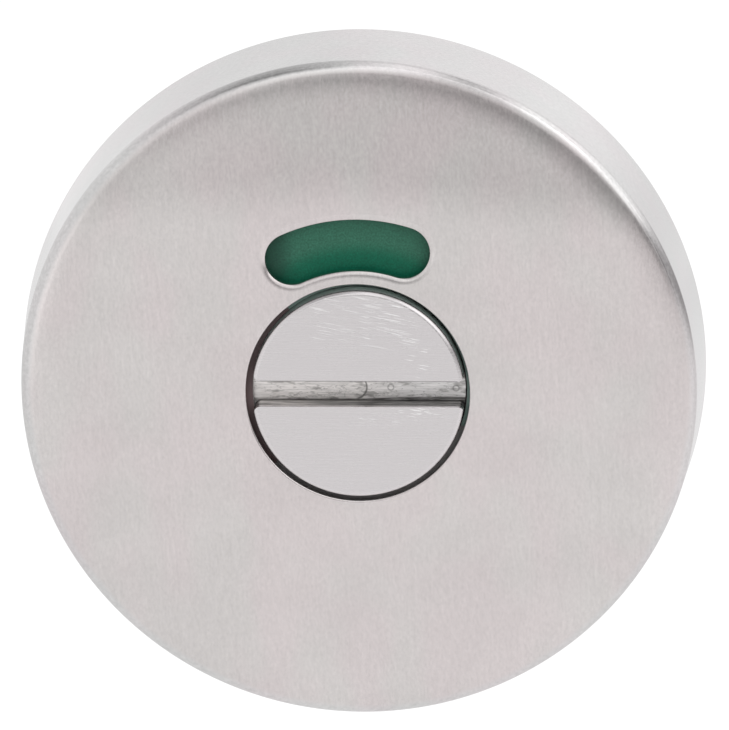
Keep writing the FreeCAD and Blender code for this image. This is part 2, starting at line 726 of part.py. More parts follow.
def make_circlip():
    """Retaining ring in the hub's groove: open at the bottom, with an eyed ear at each end."""
    body = new_body("circlip")
    inner_radius = groove_radius + size["assembly_clearance"]
    outer_radius = inner_radius + size["circlip_width"]
    thickness = size["circlip_thickness"]
    half_gap = size["circlip_gap"] / 2
    ear_x = half_gap + size["ear_diameter"] / 2
    ear_z = -root(outer_radius * outer_radius - ear_x * ear_x)
    ring = new_sketch(body, "ring", "XZ_Plane", circlip_back)
    add_circle(ring, outer_radius)
    add_circle(ring, inner_radius)
    feature(body, "Pad", "ring", ring, {"Length": thickness})
    ears = new_sketch(body, "ears", "XZ_Plane", circlip_back)
    for x in (-ear_x, ear_x):
        add_circle(ears, size["ear_diameter"] / 2, x, ear_z)
    feature(body, "Pad", "ears", ears, {"Length": thickness})
    gap = new_sketch(body, "gap", "XZ_Plane", circlip_front)
    add_rectangle(gap, -half_gap, half_gap, -outer_radius * 2, -inner_radius / 2)
    feature(body, "Pocket", "gap", gap, {"Length": thickness})
    eyes = new_sketch(body, "eyes", "XZ_Plane", circlip_front)
    for x in (-ear_x, ear_x):
        add_circle(eyes, size["ear_hole_diameter"] / 2, x, ear_z)
    feature(body, "Pocket", "eyes", eyes, {"Length": thickness})
    return body


def make_sub_parts():
    split = size["label_split_angle"]
    return [
        make_cover(),
        make_base_plate(),
        make_cover_grip_ring(),
        make_bearing_bush(),
        make_threaded_post(-1, "threaded_post_left"),
        make_threaded_post(1, "threaded_post_right"),
        make_stop_pin(),
        make_release_disc(),
        make_indicator_disc(),
        make_label("green_label", split - size["green_span"], size["green_span"]),
        make_label("red_label", split, size["red_span"]),
        make_spindle(),
        add_cross_cylinder("spindle_pin", size["hub_diameter"] - size["assembly_clearance"] * 2),
        make_thrust_washer(),
        make_spring_washer(),
        make_circlip(),
    ]


def check_document(sub_parts):
    """Stops if anything failed to build, before a file is written."""
    for item in doc.Objects:
        if "Invalid" in item.State or "Error" in item.State:
            raise RuntimeError(f"{item.Name} failed: {item.State}")
    for item in sub_parts:
        if item.Shape.isNull() or not item.Shape.isValid() or len(item.Shape.Solids) != 1:
            raise RuntimeError(f"{item.Label} has no single valid solid")


parts = make_sub_parts()
doc.recompute()
check_document(parts)
os.makedirs("parts", exist_ok=True)
for part in parts:
    part.Shape.exportStep(f"parts/{part.Label}.step")
    box = part.Shape.BoundBox
    print(f"{part.Label:20s} {part.Shape.Volume:10.2f} mm3  x {box.XMin:.2f}..{box.XMax:.2f}"
          f"  y {box.YMin:.2f}..{box.YMax:.2f}  z {box.ZMin:.2f}..{box.ZMax:.2f}")
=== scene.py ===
"""Looks of the outside release rose of a bathroom lock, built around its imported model.

Metres, in the frame of the CAD model: X to the right, Y into the door, Z up. The rose faces -Y. A level is a
distance out of the door towards the viewer, so it is -Y. An angle about the spindle's axis starts at +X and
grows anticlockwise, seen from the front.
"""
import json
import math

import bmesh
import bpy
from mathutils import Matrix, Vector
from mathutils.geometry import delaunay_2d_cdt


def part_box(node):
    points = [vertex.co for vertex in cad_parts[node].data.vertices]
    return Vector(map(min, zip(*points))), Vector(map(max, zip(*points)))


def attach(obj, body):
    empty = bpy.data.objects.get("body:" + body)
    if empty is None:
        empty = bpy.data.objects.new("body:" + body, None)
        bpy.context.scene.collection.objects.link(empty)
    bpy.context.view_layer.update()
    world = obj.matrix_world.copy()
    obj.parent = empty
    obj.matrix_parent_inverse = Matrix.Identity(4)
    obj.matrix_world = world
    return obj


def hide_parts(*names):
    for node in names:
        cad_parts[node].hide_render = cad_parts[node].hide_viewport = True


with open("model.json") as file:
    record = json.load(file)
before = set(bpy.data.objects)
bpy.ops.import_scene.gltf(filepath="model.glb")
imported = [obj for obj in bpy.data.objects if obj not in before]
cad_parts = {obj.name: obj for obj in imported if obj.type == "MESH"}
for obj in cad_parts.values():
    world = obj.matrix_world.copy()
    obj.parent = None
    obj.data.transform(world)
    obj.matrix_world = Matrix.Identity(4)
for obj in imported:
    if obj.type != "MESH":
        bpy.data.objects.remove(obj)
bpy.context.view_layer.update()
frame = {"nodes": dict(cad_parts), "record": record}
nodes = frame["nodes"]
MM = 0.001

# Points of a solid this close to a level or a radius lie on it
NEAR = 0.01 * MM
# Points of a mesh this close to each other are one
SAME_POINT = 1e-8
# Spare width between loops that mustn't meet, and between a cutter's end and the face that it stops at
GUARD = 0.02 * MM
# How far a cutter reaches past the outside of what it cuts
CUTTER_REACH = 1.0 * MM
# Faces that meet at less than this angle, in degrees, are shaded as one smooth surface
SMOOTH_ANGLE = 30

# Picture frame of the photograph, and where the middle of the cover's face is in it, in pixels
PHOTO_WIDTH = 729
PHOTO_HEIGHT = 730
FACE_X = 357.6
FACE_Y = 393.3

# Camera: degrees and metres. The roll is clockwise, seen from the camera
CAMERA_AZIMUTH = 3.316
CAMERA_ELEVATION = 15.876
CAMERA_ROLL = 0.7
CAMERA_DISTANCE = 0.476465
PIXELS_PER_METRE = 13367.0
SENSOR_WIDTH = 36.0


def middle_of(node):
    low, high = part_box(node)
    return (low + high) / 2


def front_of(node):
    """The level of a node's foremost point."""
    return -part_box(node)[0].y


def vector_towards(longitude, latitude):
    """A unit vector, with longitude 0 to the front, positive to the right, in degrees."""
    turn = math.radians(longitude)
    rise = math.radians(latitude)
    return Vector((math.sin(turn) * math.cos(rise), -math.cos(turn) * math.cos(rise), math.sin(rise)))


def add_camera():
    """A long lens at the photograph's angle. Its shift puts the face where the photograph has it."""
    back = vector_towards(CAMERA_AZIMUTH, CAMERA_ELEVATION)
    turn = math.radians(CAMERA_AZIMUTH)
    right = Vector((math.cos(turn), math.sin(turn), 0))
    up = back.cross(right)
    axes = Matrix((right, up, back)).transposed()
    axes = Matrix.Rotation(math.radians(CAMERA_ROLL), 3, "Y") @ axes
    target = Vector((middle_of("cover").x, -front_of("cover"), 0))
    long_side = max(PHOTO_WIDTH, PHOTO_HEIGHT)
    lens = bpy.data.cameras.new("camera")
    lens.sensor_width = SENSOR_WIDTH
    lens.lens = PIXELS_PER_METRE * CAMERA_DISTANCE / long_side * SENSOR_WIDTH
    lens.shift_x = (PHOTO_WIDTH / 2 - FACE_X) / long_side
    lens.shift_y = (FACE_Y - PHOTO_HEIGHT / 2) / long_side
    lens.clip_start = 0.01
    camera = bpy.data.objects.new("camera", lens)
    camera.matrix_world = Matrix.Translation(target + axes.col[2] * CAMERA_DISTANCE) @ axes.to_4x4()
    bpy.context.scene.collection.objects.link(camera)
    bpy.context.scene.camera = camera


def set_inputs(tree, node, inputs):
    """Values, or output sockets to link from, for a node's inputs by name or number."""
    for name, value in inputs.items():
        if isinstance(value, bpy.types.NodeSocket):
            tree.links.new(value, node.inputs[name])
        else:
            node.inputs[name].default_value = value


def add_node(tree, kind, inputs=None, **settings):
    """A shader node, with its settings and its inputs."""
    node = tree.nodes.new(f"ShaderNode{kind}")
    for name, setting in settings.items():
        setattr(node, name, setting)
    set_inputs(tree, node, inputs or {})
    return node


def math_node(tree, operation, *values, clamp=False):
    inputs = dict(enumerate(values))
    return add_node(tree, "Math", inputs, operation=operation, use_clamp=clamp).outputs[0]


def product(tree, first, *others):
    for other in others:
        first = math_node(tree, "MULTIPLY", first, other)
    return first


def difference(tree, value, other):
    return math_node(tree, "SUBTRACT", value, other)


def away_from(tree, value, centre):
    return math_node(tree, "ABSOLUTE", difference(tree, value, centre))


def flat_length(tree, across, up):
    squares = math_node(tree, "ADD", product(tree, across, across), product(tree, up, up))
    return math_node(tree, "SQRT", squares)


def mix_values(tree, share, one, other):
    return add_node(tree, "Mix", {"Factor": share, "A": one, "B": other}, data_type="FLOAT").outputs[0]


def ramp(tree, value, low, high, start=0.0, end=1.0):
    """A smooth step from start, where the value is at most low, to end, where it is at least high."""
    node = add_node(tree, "MapRange", {"Value": value, "From Min": low, "From Max": high,
                                       "To Min": start, "To Max": end}, interpolation_type="SMOOTHSTEP")
    return node.outputs["Result"]


# Soft studio: how bright the surround is, where white paper is 1, to metal and as plain light
SURROUND = 1.0
FILL = 0.8

# Soft-edged rectangles of the surround that only metal shows: where they are, how they lean, their half width
# and height and the softness of their edges in degrees, and how much brighter they are than the surround
PANELS = {
    "window": (75, 56, 10, 31, 31, 24, 0.47),
    "window_bar": (40, 58, 47, 51, 6.5, 15, -0.79),
    "small_window": (20, 26, 73, 26, 24, 7.5, 0.64),
    "bright_shelf": (21, 5.4, 25.7, 51, 5, 11, 0.52),
    "far_wall": (178, 41, 22, 50, 27, 17, 0.13),
    "dark_horizon": (77, 7, -4, 78, 9, 16, -0.58),
    "dark_shelf": (15.5, -2.3, 11.5, 28.5, 6.1, 3, -0.76),
    "dark_gap": (2, 3, 5, 6.6, 5.5, 9, -0.53),
    "dark_corner": (-94, 67, 1, 54, 12, 53, -0.66),
    "dark_pillar": (-27, 46, 20, 11, 12, 10, -0.2),
}


def add_panel(tree, direction, longitude, latitude, roll, half_width, half_height, softness, amount):
    """What one panel adds to the surround in a direction."""
    facing = vector_towards(longitude, latitude)
    turn = math.radians(longitude)
    level = Vector((math.cos(turn), math.sin(turn), 0))
    upright = facing.cross(level)
    lean = math.radians(roll)
    across = level * math.cos(lean) + upright * math.sin(lean)
    along = upright * math.cos(lean) - level * math.sin(lean)
    parts = [add_node(tree, "VectorMath", {0: direction, 1: axis}, operation="DOT_PRODUCT").outputs["Value"]
             for axis in (facing, across, along)]
    sideways = math_node(tree, "ARCTAN2", parts[1], parts[0])
    upwards = math_node(tree, "ARCSINE", parts[2])
    shares = []
    for angle, half in ((sideways, half_width), (upwards, half_height)):
        low, high = math.radians(half - softness / 2), math.radians(half + softness / 2)
        shares.append(ramp(tree, math_node(tree, "ABSOLUTE", angle), low, high, 1.0, 0.0))
    return product(tree, *shares, amount)


def mirrored(tree, path):
    """1 for a ray that metal or glass sends on, from a light path node."""
    return math_node(tree, "MAXIMUM", path.outputs["Is Glossy Ray"], path.outputs["Is Transmission Ray"])


def add_studio():
    """A white surround to the eye. Metal sees soft windows and darker stretches in it.

    The surround isn't sampled as a lamp, because such samples can't tell metal from other surfaces.
    """
    world = bpy.data.worlds.new("studio")
    bpy.context.scene.world = world
    world.use_nodes = True
    world.cycles.sampling_method = "NONE"
    tree = world.node_tree
    tree.nodes.clear()
    direction = add_node(tree, "TexCoord").outputs["Generated"]
    glow = SURROUND
    for panel in PANELS.values():
        glow = math_node(tree, "ADD", glow, add_panel(tree, direction, *panel))
    glow = math_node(tree, "MAXIMUM", glow, 0.0)
    path = add_node(tree, "LightPath")
    level = mix_values(tree, mirrored(tree, path), FILL, glow)
    final = mix_values(tree, path.outputs["Is Camera Ray"], level, 1.0)
    background = add_node(tree, "Background", {"Color": (1, 1, 1, 1), "Strength": final})
    output = add_node(tree, "OutputWorld")
    tree.links.new(background.outputs[0], output.inputs[0])


# Floor: its height, size and place, and how much brighter than lit it looks to the eye and in metal
FLOOR_LEVEL = -0.12
FLOOR_RADIUS = 0.65
FLOOR_CENTRE = 0.15
FLOOR_SIDES = 96
LIFT_TO_EYE = 0.35
LIFT_IN_METAL = 0.2


def add_floor():
    """A pale round table top under the rose. It stays white to the eye and keeps the shadow."""
    mesh = bpy.data.meshes.new("floor")
    ring = [(FLOOR_RADIUS * math.cos(2 * math.pi * k / FLOOR_SIDES),
             FLOOR_CENTRE + FLOOR_RADIUS * math.sin(2 * math.pi * k / FLOOR_SIDES), FLOOR_LEVEL)
            for k in range(FLOOR_SIDES)]
    mesh.from_pydata(ring, [], [tuple(range(FLOOR_SIDES))])
    floor = bpy.data.objects.new("floor", mesh)
    bpy.context.scene.collection.objects.link(floor)
    material = bpy.data.materials.new("pale_floor")
    material.use_nodes = True
    tree = material.node_tree
    tree.nodes.clear()
    paint = add_node(tree, "BsdfDiffuse", {"Color": (0.85, 0.85, 0.85, 1)})
    path = add_node(tree, "LightPath")
    lift = math_node(tree, "ADD", product(tree, path.outputs["Is Camera Ray"], LIFT_TO_EYE),
                     product(tree, mirrored(tree, path), LIFT_IN_METAL))
    glow = add_node(tree, "Emission", {"Strength": lift})
    both = add_node(tree, "AddShader")
    tree.links.new(paint.outputs[0], both.inputs[0])
    tree.links.new(glow.outputs[0], both.inputs[1])
    output = add_node(tree, "OutputMaterial")
    tree.links.new(both.outputs[0], output.inputs["Surface"])
    mesh.materials.append(material)


def add_softbox(name, longitude, latitude, distance, side, radiance):
    """A square lamp that faces the rose. Its power follows from how bright its face is.

    Metal shows the surround's panels in its place.
    """
    lamp = bpy.data.lights.new(name, "AREA")
    lamp.shape = "SQUARE"
    lamp.size = side
    lamp.energy = radiance * math.pi * side * side
    light = bpy.data.objects.new(name, lamp)
    place = vector_towards(longitude, latitude) * distance
    light.location = place
    light.rotation_euler = place.to_track_quat("Z", "Y").to_euler()
    light.visible_glossy = False
    bpy.context.scene.collection.objects.link(light)


def around(radius, angle, level, centre=(0.0, 0.0)):
    """A point at a radius and an angle about an axis along Y through a centre in X and Z, at a level."""
    return Vector((centre[0] + radius * math.cos(angle), -level, centre[1] + radius * math.sin(angle)))


class Shell:
    """A mesh in the making: loops of points, strips of quads between them, and flat fills."""

    def __init__(self):
        self.points = []
        self.faces = []

    def loop(self, points):
        first = len(self.points)
        self.points.extend(points)
        return list(range(first, len(self.points)))

    def ring(self, radius, level, sides, centre=(0.0, 0.0)):
        return self.loop([around(radius, 2 * math.pi * k / sides, level, centre) for k in range(sides)])

    def strip(self, loops):
        """Quads between each loop and the next."""
        for one, other in zip(loops, loops[1:]):
            for k in range(len(one)):
                following = (k + 1) % len(one)
                self.faces.append((one[k], one[following], other[following], other[k]))

    def lathe(self, profile, sides, centre=(0.0, 0.0)):
        """Strips between rings, for a profile of radii and levels. Returns the rings."""
        rings = [self.ring(radius, level, sides, centre) for radius, level in profile]
        self.strip(rings)
        return rings

    def cap(self, loop):
        self.faces.append(tuple(loop))

    def solid(self, loops):
        """Strips between loops, and a cap at each end."""
        self.strip(loops)
        self.cap(loops[0])
        self.cap(loops[-1])

    def fill(self, outer, holes):
        """Triangles over the flat region inside an outer loop and outside the holes in it."""
        used = [index for loop in (outer, *holes) for index in loop]
        flat = [Vector((self.points[index].x, self.points[index].z)) for index in used]
        edges = []
        start = 0
        for loop in (outer, *holes):
            edges += [(start + k, start + (k + 1) % len(loop)) for k in range(len(loop))]
            start += len(loop)
        places, _, triangles, origins, _, _ = delaunay_2d_cdt(flat, edges, [], 0, SAME_POINT / 10)
        rims = [[flat_point(self.points[index]) for index in loop] for loop in holes]
        for triangle in triangles:
            middle = sum((places[k] for k in triangle), Vector((0, 0))) / 3
            if not any(is_inside(middle, rim) for rim in rims):
                self.faces.append(tuple(used[origins[k][0]] for k in triangle))

    def make(self, name, transform=Matrix.Identity(4)):
        """The finished object, with its faces outwards."""
        mesh = bpy.data.meshes.new(name)
        mesh.from_pydata([transform @ point for point in self.points], [], self.faces)
        tidy_mesh(mesh)
        piece = bpy.data.objects.new(name, mesh)
        bpy.context.scene.collection.objects.link(piece)
        return piece


def flat_point(point):
    return Vector((point.x, point.z))


def is_inside(point, loop):
    """True if a flat point is inside a closed loop of flat points."""
    inside = False
    for here, there in zip(loop, loop[1:] + loop[:1]):
        if (here.y > point.y) != (there.y > point.y):
            crossing = here.x + (point.y - here.y) / (there.y - here.y) * (there.x - here.x)
            if point.x < crossing:
                inside = not inside
    return inside


def tidy_mesh(mesh):
    """Joins points that are one, turns the faces outwards and shades them smooth up to the smooth angle."""
    work = bmesh.new()
    work.from_mesh(mesh)
    bmesh.ops.remove_doubles(work, verts=work.verts, dist=SAME_POINT)
    bmesh.ops.recalc_face_normals(work, faces=work.faces)
    work.to_mesh(mesh)
    work.free()
    for polygon in mesh.polygons:
        polygon.use_smooth = True
    mesh.set_sharp_from_angle(angle=math.radians(SMOOTH_ANGLE))


def cut_out(piece, cutters):
    """Cuts solids out of a piece and removes them."""
    for cutter in cutters:
        modifier = piece.modifiers.new("cut", "BOOLEAN")
        modifier.object = cutter
        modifier.operation = "DIFFERENCE"
        modifier.solver = "EXACT"
    graph = bpy.context.evaluated_depsgraph_get()
    mesh = bpy.data.meshes.new_from_object(piece.evaluated_get(graph))
    piece.modifiers.clear()
    piece.data = mesh
    tidy_mesh(mesh)
    for cutter in cutters:
        bpy.data.objects.remove(cutter)


def flatten_shading(piece):
    """Large flat faces keep their own normal, so that no soft shade runs into them from a rounded edge."""
    modifier = piece.modifiers.new("flat_faces", "WEIGHTED_NORMAL")
    modifier.mode = "FACE_AREA"
    modifier.weight = 90
    modifier.keep_sharp = True


def arc_points(radius, start, end, level, steps, centre=(0.0, 0.0), last=True):
    """Points along an arc, with or without its last point."""
    return [around(radius, start + (end - start) * k / steps, level, centre)
            for k in range(steps + 1 if last else steps)]


def arc_slot(inner, outer, middle, half_span, level):
    """The outline of a slot along an arc, with round ends. The half span is that of its end centres."""
    long_steps, end_steps = 96, 32
    track, end_radius = (inner + outer) / 2, (outer - inner) / 2
    first, last = middle - half_span, middle + half_span
    centres = [(track * math.cos(angle), track * math.sin(angle)) for angle in (first, last)]
    return (arc_points(outer, first, last, level, long_steps, last=False)
            + arc_points(end_radius, last, last + math.pi, level, end_steps, centres[1], last=False)
            + arc_points(inner, last, first, level, long_steps, last=False)
            + arc_points(end_radius, first + math.pi, first + 2 * math.pi, level, end_steps, centres[0],
                         last=False))


def rolled_lip(width, drop):
    """Offset and drop of an edge that a punch has drawn down: a quarter ellipse, from the flat to the cut."""
    for k in range(LIP_STEPS + 1):
        turn = math.pi / 2 * k / LIP_STEPS
        yield width * (1 - math.sin(turn)), drop * (1 - math.cos(turn))


# Cover: a pressed sheet cup. Its lips are drawn down by the punch, and its face rolls off near the edge, from a
# radius and up to a slope. Inside that radius it is flat, filled to a margin past the window's lip
ROUND_SIDES = 360
LIP_STEPS = 12
ROLL_STEPS = 16
EDGE_STEPS = 20
BEND_STEPS = 5
SHEET = 0.6 * MM
EDGE_RADIUS = 0.7 * MM
INNER_BEND = 0.1 * MM
WINDOW_LIP_WIDTH = 0.5 * MM
WINDOW_LIP_DROP = 0.14 * MM
LOWER_LIP_DRAW = 0.12 * MM
HOLE_LIP_WIDTH = 0.14 * MM
HOLE_LIP_DROP = 0.09 * MM
COVER_TAPER = 0.7 * MM
FLAT_MARGIN = 0.7 * MM
ROLL_START = 22.3 * MM
ROLL_SLOPE = math.radians(8.5)
RIM_ROUND = 0.08 * MM
RIM_CORNER = 0.3 * RIM_ROUND
RIM_INSET = 0.1 * RIM_ROUND


def measure_cover():
    """Sizes of the cover from its solid: radii, levels, and the window's place."""
    centre = middle_of("cover")
    front = front_of("cover")
    points = [vertex.co - Vector((centre.x, 0, 0)) for vertex in nodes["cover"].data.vertices]
    polar = [(math.hypot(p.x, p.z), math.atan2(p.z, p.x), -p.y) for p in points]
    outer_radius = max(radius for radius, _, _ in polar)
    face = [(radius, angle) for radius, angle, level in polar if abs(level - front) < NEAR]
    hole_radius = min(radius for radius, _ in face)
    past_hole = hole_radius + 10 * NEAR
    well_inside = 0.8 * max(radius for radius, _ in face)
    window = [(radius, angle) for radius, angle in face if past_hole < radius < well_inside]
    inner = min(radius for radius, _ in window)
    outer = max(radius for radius, _ in window)
    angles = [angle for _, angle in window]
    end_angle = math.asin((outer - inner) / (outer + inner))
    return {"centre": centre.x, "front": front, "outer_radius": outer_radius, "hole_radius": hole_radius,
            "window_inner": inner, "window_outer": outer, "window_middle": (min(angles) + max(angles)) / 2,
            "window_half_span": (max(angles) - min(angles)) / 2 - end_angle}


def cover_profile(outer_radius, front, flat_radius):
    """Section of the cup: its flat face, edge and wall down to the door, then the inside up to the flat's back.

    The face falls away as a cubic, whose last slope is three times its drop over its run.
    """
    taper = COVER_TAPER / front
    slope = math.atan(taper)

    def bend(radius, level, wall_radius):
        """Centre of an arc that touches the wall and has its top at a level."""
        centre_level = level - radius
        return wall_radius - taper * centre_level - radius / math.cos(slope), centre_level

    def arc(centre, radius, first_tilt, last_tilt, steps):
        for k in range(steps + 1):
            tilt = first_tilt + (last_tilt - first_tilt) * k / steps
            yield centre[0] + radius * math.sin(tilt), centre[1] + radius * math.cos(tilt)

    run = outer_radius - EDGE_RADIUS * 2 - ROLL_START
    drop = math.tan(ROLL_SLOPE) * run / 3
    wall_tilt = math.pi / 2 - slope
    edge_centre = bend(EDGE_RADIUS, front - drop, outer_radius)
    roll_end = edge_centre[0] + EDGE_RADIUS * math.sin(ROLL_SLOPE)
    profile = [(flat_radius, front)]
    for k in range(ROLL_STEPS):
        share = k / ROLL_STEPS
        profile.append((ROLL_START + (roll_end - ROLL_START) * share, front - drop * share ** 3))
    profile += arc(edge_centre, EDGE_RADIUS, ROLL_SLOPE, wall_tilt, EDGE_STEPS)
    inner_radius = outer_radius - SHEET
    profile += [(outer_radius - RIM_INSET, RIM_ROUND), (outer_radius - RIM_CORNER, RIM_CORNER),
                (outer_radius - RIM_ROUND, 0.0), (inner_radius + RIM_ROUND, 0.0), (inner_radius, RIM_ROUND)]
    back = front - SHEET
    profile += arc(bend(INNER_BEND, back - drop, inner_radius), INNER_BEND, wall_tilt, 0.0, BEND_STEPS)
    profile += [(ROLL_START, back - GUARD), (flat_radius, back)]
    return profile


def make_cover():
    """The cover, and how far it is turned about the spindle's axis."""
    sizes = measure_cover()
    front = sizes["front"]
    back = front - SHEET
    hole = sizes["hole_radius"]
    flat_radius = sizes["window_outer"] + WINDOW_LIP_WIDTH + FLAT_MARGIN
    shell = Shell()
    rings = shell.lathe(cover_profile(sizes["outer_radius"], front, flat_radius), ROUND_SIDES)

    def window(offset, level):
        inner = sizes["window_inner"] + LOWER_LIP_DRAW
        return shell.loop(arc_slot(inner - offset, sizes["window_outer"] + offset,
                                   math.pi / 2, sizes["window_half_span"], level))

    window_loops = [window(WINDOW_LIP_WIDTH + GUARD, front)]
    window_loops += [window(offset, front - drop)
                     for offset, drop in rolled_lip(WINDOW_LIP_WIDTH, WINDOW_LIP_DROP)]
    window_loops.append(window(0.0, back))
    shell.strip(window_loops)
    hole_loops = [shell.ring(hole + HOLE_LIP_WIDTH + GUARD, front, ROUND_SIDES)]
    hole_loops += [shell.ring(hole + offset, front - drop, ROUND_SIDES)
                   for offset, drop in rolled_lip(HOLE_LIP_WIDTH, HOLE_LIP_DROP)]
    hole_loops.append(shell.ring(hole, back, ROUND_SIDES))
    shell.strip(hole_loops)
    shell.fill(rings[0], [window_loops[0], hole_loops[0]])
    shell.fill(rings[-1], [window_loops[-1], hole_loops[-1]])
    turn = sizes["window_middle"] - math.pi / 2
    place = Matrix.Translation((sizes["centre"], 0, 0)) @ Matrix.Rotation(-turn, 4, "Y")
    cover = shell.make("pressed_cover", place)
    flatten_shading(cover)
    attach(cover, "rose")
    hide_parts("cover")
    return cover, turn


# Release disc and hub, turned in one piece. The head is a little larger than its solid and off the hub's
# axis, as the gap round it shows
DISC_SIDES = 256
DISC_EDGE = 0.32 * MM
DISC_EDGE_STEPS = 12
HEAD_GROWTH = 0.04 * MM
HEAD_CENTRE = (-0.065 * MM, -0.03 * MM)
HUB_CHAMFER = 0.4 * MM
SMALL_CHAMFER = 0.08 * MM
KEY_DIAMETER = 11.8 * MM
KEY_FLATS = 10.2 * MM
KEY_THICKNESS = 1.2 * MM
SOCKET_PLAY = 0.05 * MM
PIN_HOLE_SIDES = 48
PIN_HOLE_REACH = 10.0 * MM

# Coin slot: its lips and foot are rounded, its mouths flare, and the cutter's second pass went a step deeper
SLOT_DEPTH = 2.0 * MM
SLOT_HALF = 0.975 * MM
SLOT_FLARE = 0.45 * MM
FLARE_STEPS = 10
SLOT_FOOT = 0.06 * MM
FOOT_STEPS = 4
SLOT_LIP = 0.05 * MM
SLOT_LIP_TURN = math.radians(80)
SLOT_LIP_STEPS = 6
SLOT_STEP = 0.08 * MM
SLOT_STEP_END = 0.5 * MM
SECOND_PASS_RADIUS = SLOT_HALF - SLOT_FOOT * 1.1
SECOND_PASS_CENTRE = SLOT_STEP_END - SECOND_PASS_RADIUS
SECOND_PASS_TOP = 0.3 * MM
SECOND_PASS_STEPS = 24


def measure_disc():
    """Sizes of the release disc from its solid: radii and levels."""
    low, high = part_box("release_disc")
    points = [(math.hypot(v.co.x, v.co.z), -v.co.y) for v in nodes["release_disc"].data.vertices]
    hub = [(radius, level) for radius, level in points if level < 0]
    hub_radius = max(radius for radius, _ in hub)
    groove_radius = min(radius for radius, _ in hub if hub_radius * 0.85 < radius < hub_radius - NEAR)
    groove = [level for radius, level in hub if abs(radius - groove_radius) < NEAR]
    head_back = min(level for radius, level in points if abs(radius - high.x) < NEAR)
    return {"front": -low.y, "back": -high.y, "head_radius": high.x, "head_back": head_back,
            "hub_radius": hub_radius, "groove_radius": groove_radius,
            "groove_front": max(groove), "groove_back": min(groove)}


def head_profile(reach, front, back):
    profile = [(reach - DISC_EDGE - GUARD, front)]
    for k in range(DISC_EDGE_STEPS + 1):
        tilt = math.pi / 2 * k / DISC_EDGE_STEPS
        profile.append((reach - DISC_EDGE * (1 - math.sin(tilt)), front - DISC_EDGE * (1 - math.cos(tilt))))
    return profile + [(reach, back + SMALL_CHAMFER), (reach - SMALL_CHAMFER, back)]


def hub_profile(sizes):
    """The indicator's key, then the hub with its groove and its chamfered end."""
    key_radius, key_front = KEY_DIAMETER / 2, sizes["head_back"]
    key_back = key_front - KEY_THICKNESS
    hub, groove = sizes["hub_radius"], sizes["groove_radius"]
    front, back, end = sizes["groove_front"], sizes["groove_back"], sizes["back"]
    return [(key_radius, key_front), (key_radius, key_back), (hub, key_back), (hub, front + SMALL_CHAMFER),
            (hub - SMALL_CHAMFER, front), (groove, front), (groove, back), (hub - SMALL_CHAMFER, back),
            (hub, back - SMALL_CHAMFER), (hub, end + HUB_CHAMFER), (hub - HUB_CHAMFER, end)]


def make_release_disc():
    """Disc with its coin slot, the indicator's key, and the hub with its groove, socket and pin hole."""
    sizes = measure_disc()
    front, key_front = sizes["front"], sizes["head_back"]
    reach = sizes["head_radius"] + HEAD_GROWTH
    shell = Shell()
    head_rings = shell.lathe(head_profile(reach, front, key_front), DISC_SIDES, HEAD_CENTRE)
    hub_rings = shell.lathe(hub_profile(sizes), DISC_SIDES)
    shell.strip([head_rings[-1], hub_rings[0]])
    shell.cap(head_rings[0])
    shell.cap(hub_rings[-1])
    disc = shell.make("turned_release_disc")
    cut_out(disc, [slot_cutter(reach, front), second_pass_cutter(reach, front),
                   *key_flat_cutters(key_front - KEY_THICKNESS, key_front),
                   socket_cutter(sizes["back"]), pin_hole_cutter()])
    flatten_shading(disc)
    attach(disc, "release")
    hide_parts("release_disc")
    return disc


def slot_outline(radius, offset, level):
    """Outline of the coin slot, wider by an offset: straight lips that flare at the disc's edge."""
    centre_z = SLOT_HALF + SLOT_FLARE
    centre_x = math.sqrt((radius - SLOT_FLARE) ** 2 - centre_z ** 2)
    lean = math.atan2(centre_z, centre_x)
    reach = radius + CUTTER_REACH
    corner = []
    for k in range(FLARE_STEPS + 1):
        turn = -math.pi / 2 + (lean + math.pi / 2) * k / FLARE_STEPS
        corner.append((centre_x + (SLOT_FLARE - offset) * math.cos(turn),
                       centre_z + (SLOT_FLARE - offset) * math.sin(turn)))
    corner.append((reach * math.cos(lean), reach * math.sin(lean)))
    points = []
    for side_x, side_z in ((1, 1), (-1, 1), (-1, -1), (1, -1)):
        ordered = reversed(corner) if side_x == side_z else corner
        points += [Vector((x * side_x, -level, z * side_z)) for x, z in ordered]
    return points


def slot_cutter(radius, front):
    """The coin slot as a solid, with its rounded foot and lips."""
    floor = front - SLOT_DEPTH
    sections = []
    for k in range(FOOT_STEPS + 1):
        tilt = math.pi / 2 * k / FOOT_STEPS
        sections.append((SLOT_FOOT * (math.sin(tilt) - 1), floor + SLOT_FOOT * (1 - math.cos(tilt))))
    for k in range(SLOT_LIP_STEPS + 1):
        tilt = SLOT_LIP_TURN * k / SLOT_LIP_STEPS
        sections.append((SLOT_LIP * (1 - math.cos(tilt)), front - SLOT_LIP * (1 - math.sin(tilt))))
    sections.append((SLOT_LIP * 1.5, front + CUTTER_REACH))
    shell = Shell()
    shell.solid([shell.loop(slot_outline(radius, offset, level)) for offset, level in sections])
    return shell.make("slot_cutter")


def second_pass_cutter(radius, front):
    """The left half of the slot is milled a little deeper, up to the round end of the cutter's path."""
    half = SECOND_PASS_RADIUS
    floor = front - SLOT_DEPTH
    shell = Shell()
    loops = []
    for level in (floor - SLOT_STEP, floor + SECOND_PASS_TOP):
        arc = arc_points(half, -math.pi / 2, math.pi / 2, level, SECOND_PASS_STEPS, (SECOND_PASS_CENTRE, 0.0))
        ends = [Vector((-radius - CUTTER_REACH, -level, z)) for z in (half, -half)]
        loops.append(shell.loop(arc + ends))
    shell.solid(loops)
    return shell.make("second_pass_cutter")


